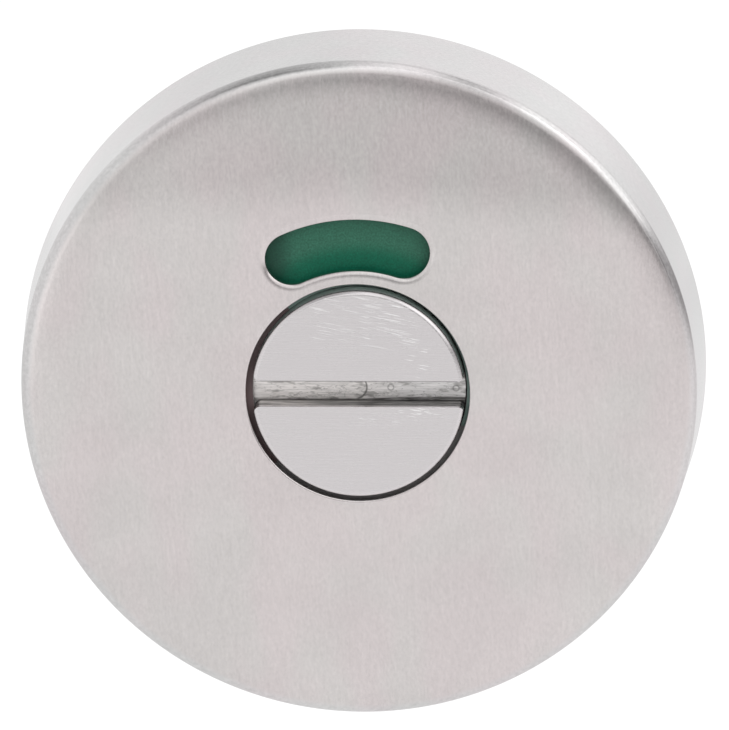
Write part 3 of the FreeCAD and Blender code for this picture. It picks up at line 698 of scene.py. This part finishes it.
def block(name, low, high):
    """A box-shaped cutter between two corners, each an x, a level and a z."""
    shell = Shell()
    loops = []
    for level in (low[1], high[1]):
        corners = ((low[0], low[2]), (high[0], low[2]), (high[0], high[2]), (low[0], high[2]))
        loops.append(shell.loop([Vector((x, -level, z)) for x, z in corners]))
    shell.solid(loops)
    return shell.make(name)


def key_flat_cutters(back, front):
    wide = KEY_DIAMETER
    return [block("upper_flat_cutter", (-wide, back - GUARD, KEY_FLATS / 2), (wide, front, wide)),
            block("lower_flat_cutter", (-wide, back - GUARD, -wide), (wide, front, -KEY_FLATS / 2))]


def socket_cutter(back):
    """The square socket for the spindle, from the hub's end to the spindle's front."""
    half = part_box("spindle")[1].x + SOCKET_PLAY
    return block("socket_cutter", (-half, back - CUTTER_REACH, -half), (half, front_of("spindle"), half))


def pin_hole_cutter():
    """A round rod along X, where the spindle's pin is."""
    low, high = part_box("spindle_pin")
    middle = (low + high) / 2
    pin_radius = (high.z - low.z) / 2
    turns = [2 * math.pi * k / PIN_HOLE_SIDES for k in range(PIN_HOLE_SIDES)]
    shell = Shell()
    shell.solid([shell.loop([Vector((x, middle.y + pin_radius * math.cos(turn),
                                     middle.z + pin_radius * math.sin(turn))) for turn in turns])
                 for x in (-PIN_HOLE_REACH, PIN_HOLE_REACH)])
    return shell.make("pin_hole_cutter")


# Threaded posts: the bolt's thread in the bore, as the radius of its surface by angle and level. The crest
# and the root are shares of the pitch, and the drill's tip is a share of the bore
THREAD_PITCH = 0.7 * MM
THREAD_DEPTH = 0.36 * MM
THREAD_LENGTH = 13.0 * MM
THREAD_CREST = 0.18
THREAD_ROOT = 0.1
COUNTERSINK = THREAD_DEPTH * 1.2
DRILL_TIP = 0.03
THREAD_SIDES = 48
RINGS_PER_TURN = 12
HEAD_FLATS = 7.0 * MM
HEAD_CHAMFER = 0.35 * MM
END_CHAMFER = 0.4 * MM


def thread_height(turns):
    """How far the thread's groove is cut at a place in its pitch, from 0 at a crest to 1 at the root."""
    place = turns - math.floor(turns)
    if place < THREAD_CREST:
        return 0.0
    rise = (1 - THREAD_CREST - THREAD_ROOT) / 2
    return min((place - THREAD_CREST) / rise, 1.0, (1 - place) / rise)


def thread_radius(bore, angle, level, mouth, end):
    """Radius of the tapped bore: it runs out before the thread's end and is countersunk at its mouth."""
    depth = level - mouth
    groove = THREAD_DEPTH * thread_height(depth / THREAD_PITCH + angle / (2 * math.pi))
    run_out = min(max((end - level) / (2 * THREAD_PITCH), 0.0), 1.0)
    return max(bore + groove * run_out, bore + COUNTERSINK - depth)


def measure_post(node, axis):
    """Sizes of a post from its solid: radii and levels. Its free end is at the back."""
    low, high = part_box(node)
    end = -high.y
    points = [(math.hypot(v.co.x - axis[0], v.co.z), -v.co.y) for v in nodes[node].data.vertices]
    corner = max(radius for radius, _ in points)
    head_back = min(level for radius, level in points if abs(radius - corner) < NEAR)
    bore = min(radius for radius, level in points if level < end + NEAR)
    inside = [(radius, level) for radius, level in points if radius < bore + NEAR and level > end + NEAR]
    return {"head_front": -low.y, "head_back": head_back, "end": end, "corner": corner, "bore": bore,
            "shank": max(radius for radius, level in points if level < head_back - NEAR),
            "bore_end": min(level for radius, level in inside if radius > bore - NEAR),
            "tip": max(level for _, level in inside if level < head_back)}


def thread_loops(shell, bore, end, axis):
    """Rings of the tapped bore, from just inside its mouth to the thread's end."""
    count = round(THREAD_LENGTH / THREAD_PITCH * RINGS_PER_TURN)
    angles = [2 * math.pi * side / THREAD_SIDES for side in range(THREAD_SIDES)]
    for k in range(1, count + 1):
        level = end + THREAD_LENGTH * k / count
        radii = [thread_radius(bore, angle, level, end, end + THREAD_LENGTH) for angle in angles]
        yield shell.loop([around(radius, angle, level, axis) for radius, angle in zip(radii, angles)])


def make_post(node, name):
    """One post: a hexagonal head with a turned chamfer, a shank, and a tapped bore from its free end."""
    axis = (middle_of(node).x, 0.0)
    sizes = measure_post(node, axis)
    head_front, head_back, end = sizes["head_front"], sizes["head_back"], sizes["end"]
    corner, shank, bore = sizes["corner"], sizes["shank"], sizes["bore"]
    profile = [(corner - HEAD_CHAMFER * 2, head_front), (corner + GUARD, head_front - HEAD_CHAMFER),
               (corner + GUARD, head_back + HEAD_CHAMFER), (corner - HEAD_CHAMFER * 2, head_back),
               (shank, head_back), (shank, end + END_CHAMFER), (shank - END_CHAMFER, end),
               (bore + COUNTERSINK, end)]
    shell = Shell()
    rings = shell.lathe(profile, THREAD_SIDES, axis)
    loops = [rings[-1], *thread_loops(shell, bore, end, axis)]
    loops.append(shell.ring(bore, sizes["bore_end"], THREAD_SIDES, axis))
    loops.append(shell.ring(bore * DRILL_TIP, sizes["tip"], THREAD_SIDES, axis))
    shell.strip(loops)
    shell.cap(rings[0])
    shell.cap(loops[-1])
    post = shell.make(name)
    cutters = []
    for side in range(6):
        cutter = block(f"flat_cutter_{side}", (HEAD_FLATS / 2, head_back - GUARD, -corner * 2),
                       (corner * 2, head_front + GUARD, corner * 2))
        turn = Matrix.Rotation(math.radians(60 * side), 4, "Y")
        cutter.data.transform(Matrix.Translation((axis[0], 0, 0)) @ turn)
        cutters.append(cutter)
    cut_out(post, cutters)
    flatten_shading(post)
    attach(post, "rose")
    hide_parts(node)
    return post


# Materials. Lengths in them are millimetres on the piece, and colours are linear
MIX_ONE, MIX_OTHER, MIX_COLOUR = 6, 7, 2
NOISE_LOW, NOISE_HIGH = 0.3, 0.7
WHITE = (1.0, 1.0, 1.0)


def new_material(name):
    material = bpy.data.materials.new(name)
    material.use_nodes = True
    return material, material.node_tree, material.node_tree.nodes["Principled BSDF"]


def mix_colours(tree, share, one, other, mode="MIX"):
    return add_node(tree, "Mix", {0: share, MIX_ONE: one, MIX_OTHER: other}, data_type="RGBA",
                    blend_type=mode).outputs[MIX_COLOUR]


def tinted(tree, colour, tint):
    return mix_colours(tree, 1.0, colour, tint, "MULTIPLY")


def shades(tree, value, colour, spread):
    """A colour from a share darker, where the value is 0, to a share lighter, where it is 1."""
    dark = [channel * (1 - spread) for channel in colour]
    light = [channel * (1 + spread) for channel in colour]
    return mix_colours(tree, value, (*dark, 1), (*light, 1))


def place_on_piece(tree, turn=0.0):
    """Millimetres along the piece's axes, turned back about the spindle by an angle."""
    place = add_node(tree, "TexCoord").outputs["Object"]
    scale = 1 / MM
    return add_node(tree, "Mapping", {"Vector": place, "Rotation": (0, turn, 0),
                                      "Scale": (scale, scale, scale)}).outputs[0]


def parts_of(tree, place):
    """The X, level, Z and distance from the spindle's axis of a place."""
    x, y, z = add_node(tree, "SeparateXYZ", {0: place}).outputs
    return x, product(tree, y, -1.0), z, flat_length(tree, x, z)


def grain(tree, place, pitch, detail=2.0, seed=0.0, lean=0.0):
    """Noise about 0.5, whose cells are as long along X, Y and Z as the pitch and lean by degrees about Y."""
    if lean:
        turn = (0, math.radians(lean), 0)
        place = add_node(tree, "Mapping", {"Vector": place, "Rotation": turn}).outputs[0]
    stretched = add_node(tree, "Mapping", {"Vector": place, "Location": (seed, seed, seed),
                                           "Scale": [1 / length for length in pitch]}).outputs[0]
    return add_node(tree, "TexNoise", {"Vector": stretched, "Scale": 1.0, "Detail": detail,
                                       "Roughness": 0.6}).outputs[0]


def over_noise(tree, noise, start=0.0, end=1.0):
    """A smooth step over the range that most of a noise lies in."""
    return ramp(tree, noise, NOISE_LOW, NOISE_HIGH, start, end)


def inside_box(tree, across, up, middle, half, softness):
    """1 inside a box of the X and Z plane, 0 outside, with soft edges."""
    shares = [ramp(tree, away_from(tree, value, centre), reach - softness, reach + softness, 1.0, 0.0)
              for value, centre, reach in zip((across, up), middle, half)]
    return product(tree, *shares)


def ring_line(tree, x, z, centre, radius, width):
    """1 on a circle of the X and Z plane, falling to 0 at a width away from it."""
    distance = flat_length(tree, difference(tree, x, centre[0]), difference(tree, z, centre[1]))
    return ramp(tree, away_from(tree, distance, radius), width / 4, width, 1.0, 0.0)


def add_bump(tree, height, depth):
    """Relief whose height goes from 0 to 1 for a depth in millimetres."""
    return add_node(tree, "Bump", {"Strength": 1.0, "Distance": depth * MM, "Height": height}).outputs[0]


# Cover's finish: how deep its grain is, and the casts and the spread of tone of its blotches
GRAIN_DEPTH = 0.0002
WARM_CAST = (1.0, 0.98, 0.984, 1)
COOL_CAST = (0.982, 0.998, 0.988, 1)
TONE_SPREAD = 0.018
BLOTCH_LOW, BLOTCH_HIGH = 0.35, 0.65

# The belt that brushed the cover has eased the top of its face: from and to which height the slope grows, and
# how much lower that is for each millimetre to the right
EASED_FROM = 13.6
EASED_TO = 17.0
EASED_LEAN = 0.14
EASED_SLOPE = math.radians(1.65)


def eased_fall(tree, x, z):
    """How far the face has been eased back at a place: a parabola, then a straight slope."""
    to_right = math_node(tree, "MAXIMUM", x, 0.0)
    height = math_node(tree, "ADD", z, product(tree, to_right, EASED_LEAN))
    growth = math_node(tree, "MAXIMUM", difference(tree, height, EASED_FROM), 0.0)
    growth = math_node(tree, "MINIMUM", growth, EASED_TO - EASED_FROM)
    curved = math_node(tree, "DIVIDE", product(tree, growth, growth), 2 * (EASED_TO - EASED_FROM))
    straight = math_node(tree, "MAXIMUM", difference(tree, height, EASED_TO), 0.0)
    return product(tree, math_node(tree, "ADD", curved, straight), math.tan(EASED_SLOPE))


def blotched(tree, place, colour):
    """A colour with a faint cast in blotches and faint broad tones."""
    blotches = grain(tree, place, (5.0, 5.0, 8.0), 1.0, seed=3.0)
    cast = mix_colours(tree, ramp(tree, blotches, BLOTCH_LOW, BLOTCH_HIGH), WARM_CAST, COOL_CAST)
    broad = grain(tree, place, (9.0, 9.0, 6.0), 1.0, seed=11.0)
    tones = shades(tree, ramp(tree, broad, BLOTCH_LOW, BLOTCH_HIGH), WHITE, TONE_SPREAD)
    return tinted(tree, tinted(tree, colour, cast), tones)


def satin_steel(turn):
    """Brushed stainless steel: upright grain over the face, a speckle on the wall, and faint blotches."""
    material, tree, shader = new_material("satin_steel")
    place = place_on_piece(tree, turn)
    x, _, z, radius = parts_of(tree, place)
    face_edge = (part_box("cover")[1].z - EDGE_RADIUS - COVER_TAPER) / MM
    on_wall = ramp(tree, radius, face_edge - 0.1, face_edge + 0.4)
    on_edge = ramp(tree, radius, face_edge - 0.25, face_edge)
    short_lines = grain(tree, place, (0.15, 1.0, 0.28), 1.0)
    long_lines = grain(tree, place, (0.16, 1.0, 1.6), 2.0, seed=6.0)
    upright = mix_values(tree, 0.35, short_lines, long_lines)
    speckle = grain(tree, place, (0.3, 0.12, 0.3), 2.0)
    lines = mix_values(tree, on_wall, upright, speckle)
    face_colour = shades(tree, lines, (0.62, 0.582, 0.58), 0.17)
    wall_colour = shades(tree, lines, (0.62, 0.603, 0.607), 0.2)
    colour = blotched(tree, place, mix_colours(tree, on_wall, face_colour, wall_colour))
    roughness = mix_values(tree, on_edge, over_noise(tree, lines, 0.232, 0.25),
                           over_noise(tree, lines, 0.165, 0.2))
    relief = difference(tree, product(tree, lines, GRAIN_DEPTH), eased_fall(tree, x, z))
    level_way = add_node(tree, "VectorTransform", {0: (math.cos(turn), 0, math.sin(turn))},
                         vector_type="VECTOR", convert_from="OBJECT", convert_to="WORLD").outputs[0]
    set_inputs(tree, shader, {"Base Color": colour, "Metallic": 1.0, "Roughness": roughness,
                              "Anisotropic": mix_values(tree, on_edge, 0.7, 0.0),
                              "Tangent": level_way, "Normal": add_bump(tree, relief, 1.0)})
    return material


# Levels of the disc's face, of its coin slot's floor, and of the foot of the painted green reflection on its
# side
DISC_FACE = front_of("release_disc") / MM
SLOT_FLOOR = DISC_FACE - SLOT_DEPTH / MM
GAP_FOOT = 6.9

# Grime on the disc, and painted shade on its slot's upper lip, at its slot's foot and at the second pass's step
VEIN_GRIME_AND_STEP_SHADE = (0.12, 0.115, 0.11, 1)
SMUDGE_DIRT = (0.2, 0.19, 0.18, 1)
DRILL_DIRT = (0.15, 0.145, 0.14, 1)
UPPER_LIP_PAINTED_SHADE = (0.16, 0.155, 0.15, 1)
FOOT_GRIME_AND_SHADE = (0.06, 0.057, 0.054, 1)

# Where the disc's face is scratched: middles, half sizes, how steeply in degrees, how long, how wide, how
# strongly and above which height of their noise
SCRATCHED = (((-1.2, 5.9), (2.2, 1.7), 11, 2.8, 0.06, 0.7, 0.57),
             ((2.4, 5.4), (2.0, 1.8), 12, 2.4, 0.07, 0.9, 0.56),
             ((4.5, 2.2), (0.8, 1.4), 9, 1.3, 0.085, 1.0, 0.6),
             ((4.7, -1.3), (1.9, 0.5), 9, 1.3, 0.075, 1.0, 0.56),
             ((1.5, -2.0), (1.6, 0.4), 8, 0.9, 0.055, 0.6, 0.57))
BRIGHT_SCRATCH = (0.88, 0.87, 0.87, 1)
SCRATCH_DEPTH = 1.5

# Round marks in the slot's floor: their middles, radius and line width
DRILL_MARKS = ((2.3, 0.0), (7.2, -0.05))
DRILL_RADIUS = 0.22
DRILL_LINE = 0.08


def slot_floor_colour(tree, place, x, z, bands, to_right):
    """Pale milled steel with dark veins and smudges, drill marks, and painted shade at the second pass's step.
    """
    milled = over_noise(tree, bands)
    floor = mix_colours(tree, to_right, shades(tree, milled, (0.8, 0.765, 0.75), 0.14),
                        shades(tree, milled, (0.74, 0.72, 0.715), 0.16))
    wander = grain(tree, place, (1.5, 1.0, 0.35), 3.0, seed=9.0)
    veins = ramp(tree, away_from(tree, wander, 0.5), 0.0, 0.022, 0.5, 0.0)
    floor = mix_colours(tree, veins, floor, VEIN_GRIME_AND_STEP_SHADE)
    smudges = ramp(tree, grain(tree, place, (1.3, 1.0, 0.45), 2.0, seed=1.5), 0.52, 0.68, 0.0, 0.6)
    floor = mix_colours(tree, smudges, floor, SMUDGE_DIRT)
    for middle in DRILL_MARKS:
        line = product(tree, ring_line(tree, x, z, middle, DRILL_RADIUS, DRILL_LINE), 0.5)
        floor = mix_colours(tree, line, floor, DRILL_DIRT)
    # painted shade: a dark line along the step at the round end of the second pass
    centre = SECOND_PASS_CENTRE / MM
    step_shade_line = product(tree, ring_line(tree, x, z, (centre, 0.0), SECOND_PASS_RADIUS / MM, 0.1),
                       ramp(tree, x, centre, centre + 0.3, 0.0, 0.75))
    return mix_colours(tree, step_shade_line, floor, VEIN_GRIME_AND_STEP_SHADE)


def slot_wall_colour(tree, place, x):
    """Streaks along the walls, paler at the left mouth."""
    streaks = ramp(tree, grain(tree, place, (2.2, 0.16, 2.2), 3.0, seed=7.0), 0.35, 0.65)
    return mix_colours(tree, ramp(tree, x, -5.0, -2.5), shades(tree, streaks, (0.56, 0.545, 0.535), 0.5),
                       shades(tree, streaks, (0.3, 0.295, 0.29), 0.6))


def slot_finish(tree, place, x, level, z):
    """Colour of the coin slot, with grime and painted shade along its foot, and the bands that its floor is
    milled in.
    """
    bands = grain(tree, place, (1.6, 0.3, 0.12), 3.0, seed=4.0)
    to_right = ramp(tree, x, -0.5, 4.5)
    on_floor = ramp(tree, level, SLOT_FLOOR + 0.04, SLOT_FLOOR + 0.15, 1.0, 0.0)
    colour = mix_colours(tree, on_floor, slot_wall_colour(tree, place, x),
                         slot_floor_colour(tree, place, x, z, bands, to_right))
    # painted shade and grime: darker in the corner where the slot's floor meets its walls
    past_foot = difference(tree, math_node(tree, "ABSOLUTE", z), mix_values(tree, to_right, 0.84, 0.68))
    foot_grime_and_shade = product(tree, ramp(tree, past_foot, 0.0, 0.12),
                   ramp(tree, level, SLOT_FLOOR + 0.1, SLOT_FLOOR + 0.5, 1.0, 0.0),
                   over_noise(tree, bands, 0.95, 0.6))
    return mix_colours(tree, foot_grime_and_shade, colour, FOOT_GRIME_AND_SHADE), bands


def coin_scratches(tree, place, x, level, z):
    """How strongly coins have scratched the disc's face at a place."""
    scratches = 0.0
    for number, (middle, half, lean, length, width, strength, threshold) in enumerate(SCRATCHED):
        dashes = grain(tree, place, (length, 1.0, width), 1.0, seed=8.0 + number, lean=-lean)
        marks = product(tree, ramp(tree, dashes, threshold, threshold + 0.1, 0.0, strength),
                        inside_box(tree, x, z, middle, half, 0.4))
        scratches = math_node(tree, "MAXIMUM", scratches, marks)
    return product(tree, scratches, ramp(tree, level, DISC_FACE - 0.2, DISC_FACE - 0.05))


def disc_regions(tree, level, z):
    """1 in the coin slot, and 1 on the head's side and all that is behind the head."""
    below_face = ramp(tree, level, DISC_FACE - 0.5, DISC_FACE - 0.25, 1.0, 0.0)
    between_lips = ramp(tree, math_node(tree, "ABSOLUTE", z), 1.0, 1.5, 1.0, 0.0)
    above_floor = ramp(tree, level, SLOT_FLOOR - 0.2, SLOT_FLOOR - 0.1)
    in_slot = product(tree, below_face, between_lips, above_floor)
    return in_slot, math_node(tree, "SUBTRACT", below_face, in_slot, clamp=True)


def disc_side_colour(tree, level, lines, in_gap):
    """Painted reflection of the green film on the head's side, with painted shade and light; plain steel behind
    the head.
    """
    # painted reflection: the green is the label film seen in the steel side; darker near the face as painted
    # shade, lighter deeper in as painted light
    near_face = ramp(tree, level, DISC_FACE - 1.3, DISC_FACE - 0.4)
    painted_green_reflection = mix_colours(tree, near_face, shades(tree, lines, (0.55, 0.66, 0.62), 0.2),
                         shades(tree, lines, (0.36, 0.42, 0.4), 0.2))
    return mix_colours(tree, in_gap, shades(tree, lines, (0.55, 0.545, 0.55), 0.12), painted_green_reflection)


def turned_steel():
    """The disc: face brushed level and scratched by coins, side dull with a painted reflection, slot milled."""
    material, tree, shader = new_material("turned_steel")
    place = place_on_piece(tree)
    x, level, z, _ = parts_of(tree, place)
    in_slot, on_side = disc_regions(tree, level, z)
    in_gap = ramp(tree, level, GAP_FOOT, GAP_FOOT + 0.3)
    brushed = grain(tree, place, (3.0, 1.0, 0.11), 3.0)
    turned = grain(tree, place, (8.0, 0.12, 8.0), 3.0, seed=2.0)
    slot_colour, milled = slot_finish(tree, place, x, level, z)
    lines = mix_values(tree, in_slot, mix_values(tree, on_side, brushed, turned), milled)
    colour = mix_colours(tree, on_side, shades(tree, lines, (0.645, 0.617, 0.624), 0.08),
                         disc_side_colour(tree, level, lines, in_gap))
    colour = mix_colours(tree, in_slot, colour, slot_colour)
    # painted shade: a dark line on the slot's upper lip, for the shadow that its upper wall casts
    upper_lip_shade = product(tree, inside_box(tree, x, z, (0.0, 1.0), (7.4, 0.035), 0.02),
                        ramp(tree, level, DISC_FACE - 0.3, DISC_FACE - 0.1), 0.75)
    colour = mix_colours(tree, upper_lip_shade, colour, UPPER_LIP_PAINTED_SHADE)
    scratches = coin_scratches(tree, place, x, level, z)
    colour = mix_colours(tree, scratches, colour, BRIGHT_SCRATCH)
    relief = difference(tree, lines, product(tree, scratches, SCRATCH_DEPTH))
    roughness = mix_values(tree, in_slot, over_noise(tree, lines, 0.22, 0.29), 0.42)
    roughness = mix_values(tree, on_side, roughness, mix_values(tree, in_gap, 0.33, 0.5))
    # less metallic in the gap, so that the painted reflection on the side shows as colour
    metallic = difference(tree, 1.0, product(tree, on_side, in_gap, 0.7))
    set_inputs(tree, shader, {"Base Color": colour, "Metallic": metallic, "Roughness": roughness,
                              "Normal": add_bump(tree, relief, 0.002)})
    return material


def plated_steel(name, colour, roughness, pitch=0.15):
    """Steel turned on a lathe or drawn as wire, with fine lines round its axis and a faint cloudy plating."""
    material, tree, shader = new_material(name)
    place = place_on_piece(tree)
    lines = grain(tree, place, (6.0, pitch, 6.0), 2.0)
    clouds = grain(tree, place, (1.8, 1.8, 1.8), 3.0, seed=5.0)
    base = shades(tree, clouds, colour, 0.08)
    tone = shades(tree, lines, WHITE, 0.08)
    set_inputs(tree, shader, {"Base Color": tinted(tree, base, tone), "Metallic": 1.0,
                              "Roughness": over_noise(tree, clouds, roughness - 0.02, roughness + 0.03),
                              "Normal": add_bump(tree, lines, 0.0025)})
    return material


# Dust lies in the gap round the disc: from and to which radius, and above which level
DUST_FROM = 7.9
DUST_TO = 8.7
DUST_LEVEL = 5.0
DUST = (0.27, 0.25, 0.25, 1)


def moulded_plastic(name, colour, roughness, spread, texture):
    """Moulded plastic: a fine spark-eroded texture, dull and shiny patches, a faint flow of the colour."""
    material, tree, shader = new_material(name)
    place = place_on_piece(tree)
    pebbles = grain(tree, place, (0.12, 0.12, 0.12), 2.0)
    flow = grain(tree, place, (7.0, 7.0, 3.0), 2.0, seed=4.0)
    _, level, _, radius = parts_of(tree, place)
    dusty = product(tree, ramp(tree, radius, DUST_FROM - 0.1, DUST_FROM),
                    ramp(tree, radius, DUST_TO, DUST_TO + 0.1, 1.0, 0.0),
                    ramp(tree, level, DUST_LEVEL, DUST_LEVEL + 0.2, 0.0, 0.9))
    base = mix_colours(tree, dusty, shades(tree, flow, colour, spread), DUST)
    set_inputs(tree, shader, {"Base Color": base,
                              "Roughness": over_noise(tree, flow, roughness - 0.07, roughness + 0.07),
                              "Specular IOR Level": 0.4, "Normal": add_bump(tree, pebbles, texture)})
    return material


# Label film: grime and painted gap light up to a radius and none from the next, own colour up to one and a
# painted sheen of reflected light from the next, and a painted shadow from the X of its left end, in the window
# at rest, to where the shadow ends
GRIME_AND_GAP_LIGHT_TO, PLAIN_FILM_FROM = 8.4, 9.1
OWN_COLOUR_TO, PAINTED_SHEEN_FROM = 10.2, 11.7
END_FROM, END_TO = -6.3, -4.4
END_SHADE = (0.004, 0.02, 0.014, 1)


def label_film(name, own_colour, colour_with_painted_sheen, grime_and_gap_light, end_shade):
    """Dull coloured film, glued on: paler further out by a painted sheen, greyed inside by grime and painted
    gap light.

    Its left end, in the window at rest, is darker by a share, as a painted shadow.
    """
    material, tree, shader = new_material(name)
    place = place_on_piece(tree)
    x, _, _, radius = parts_of(tree, place)
    mottle = grain(tree, place, (1.2, 1.2, 1.2), 3.0)
    fibre = grain(tree, place, (0.14, 0.14, 0.14), 1.0)
    # painted reflection: the film is paler further out, as if it mirrored light there
    colour = mix_colours(tree, ramp(tree, radius, OWN_COLOUR_TO, PAINTED_SHEEN_FROM), shades(tree, mottle, own_colour, 0.12),
                         shades(tree, mottle, colour_with_painted_sheen, 0.08))
    colour = tinted(tree, colour, shades(tree, fibre, WHITE, 0.5))
    colour = mix_colours(tree, ramp(tree, x, END_FROM, END_TO, end_shade, 0.0), colour, END_SHADE)
    # grime and painted light: the inner edge, in the gap round the disc, is greyed and lightened
    colour = mix_colours(tree, ramp(tree, radius, GRIME_AND_GAP_LIGHT_TO, PLAIN_FILM_FROM, 0.9, 0.0), colour, (*grime_and_gap_light, 1))
    set_inputs(tree, shader, {"Base Color": colour, "Roughness": over_noise(tree, fibre, 0.42, 0.5),
                              "Specular IOR Level": 0.2, "Normal": add_bump(tree, fibre, 0.001)})
    return material


def dress(node, material):
    """Gives a solid its material, in each of its material slots."""
    mesh = nodes[node].data
    if not mesh.materials:
        mesh.materials.append(material)
    for index in range(len(mesh.materials)):
        mesh.materials[index] = material


add_camera()
add_studio()
add_floor()
add_softbox("key_light", longitude=38, latitude=30, distance=0.9, side=0.7, radiance=1.6)

cover, cover_turn = make_cover()
disc = make_release_disc()
posts = [make_post("threaded_post_left", "tapped_post_left"),
         make_post("threaded_post_right", "tapped_post_right")]
finish = {
    "satin_steel": satin_steel(cover_turn),
    "turned_steel": turned_steel(),
    "plated_steel": plated_steel("plated_steel", (0.6, 0.61, 0.63), 0.32),
    "spring_steel": plated_steel("spring_steel", (0.42, 0.43, 0.46), 0.34, 0.3),
    "black_nylon": moulded_plastic("black_nylon", (0.04, 0.04, 0.042), 0.5, 0.12, 0.006),
    "pale_acetal": moulded_plastic("pale_acetal", (0.76, 0.75, 0.71), 0.38, 0.03, 0.002),
    "green_film": label_film("green_film", (0.003, 0.107, 0.06), (0.034, 0.135, 0.088),
                             (0.23, 0.31, 0.285), 0.6),
    "red_film": label_film("red_film", (0.14, 0.007, 0.005), (0.19, 0.02, 0.017),
                           (0.14, 0.11, 0.112), 0.0),
}
for part in frame["record"]["subparts"]:
    dress(part["node"], finish[part["material_slot"]])
new_pieces = [(cover, "satin_steel"), (disc, "turned_steel")]
new_pieces += [(post, "plated_steel") for post in posts]
for piece, slot in new_pieces:
    piece.data.materials.clear()
    piece.data.materials.append(finish[slot])

bpy.context.scene.view_settings.view_transform = "Standard"
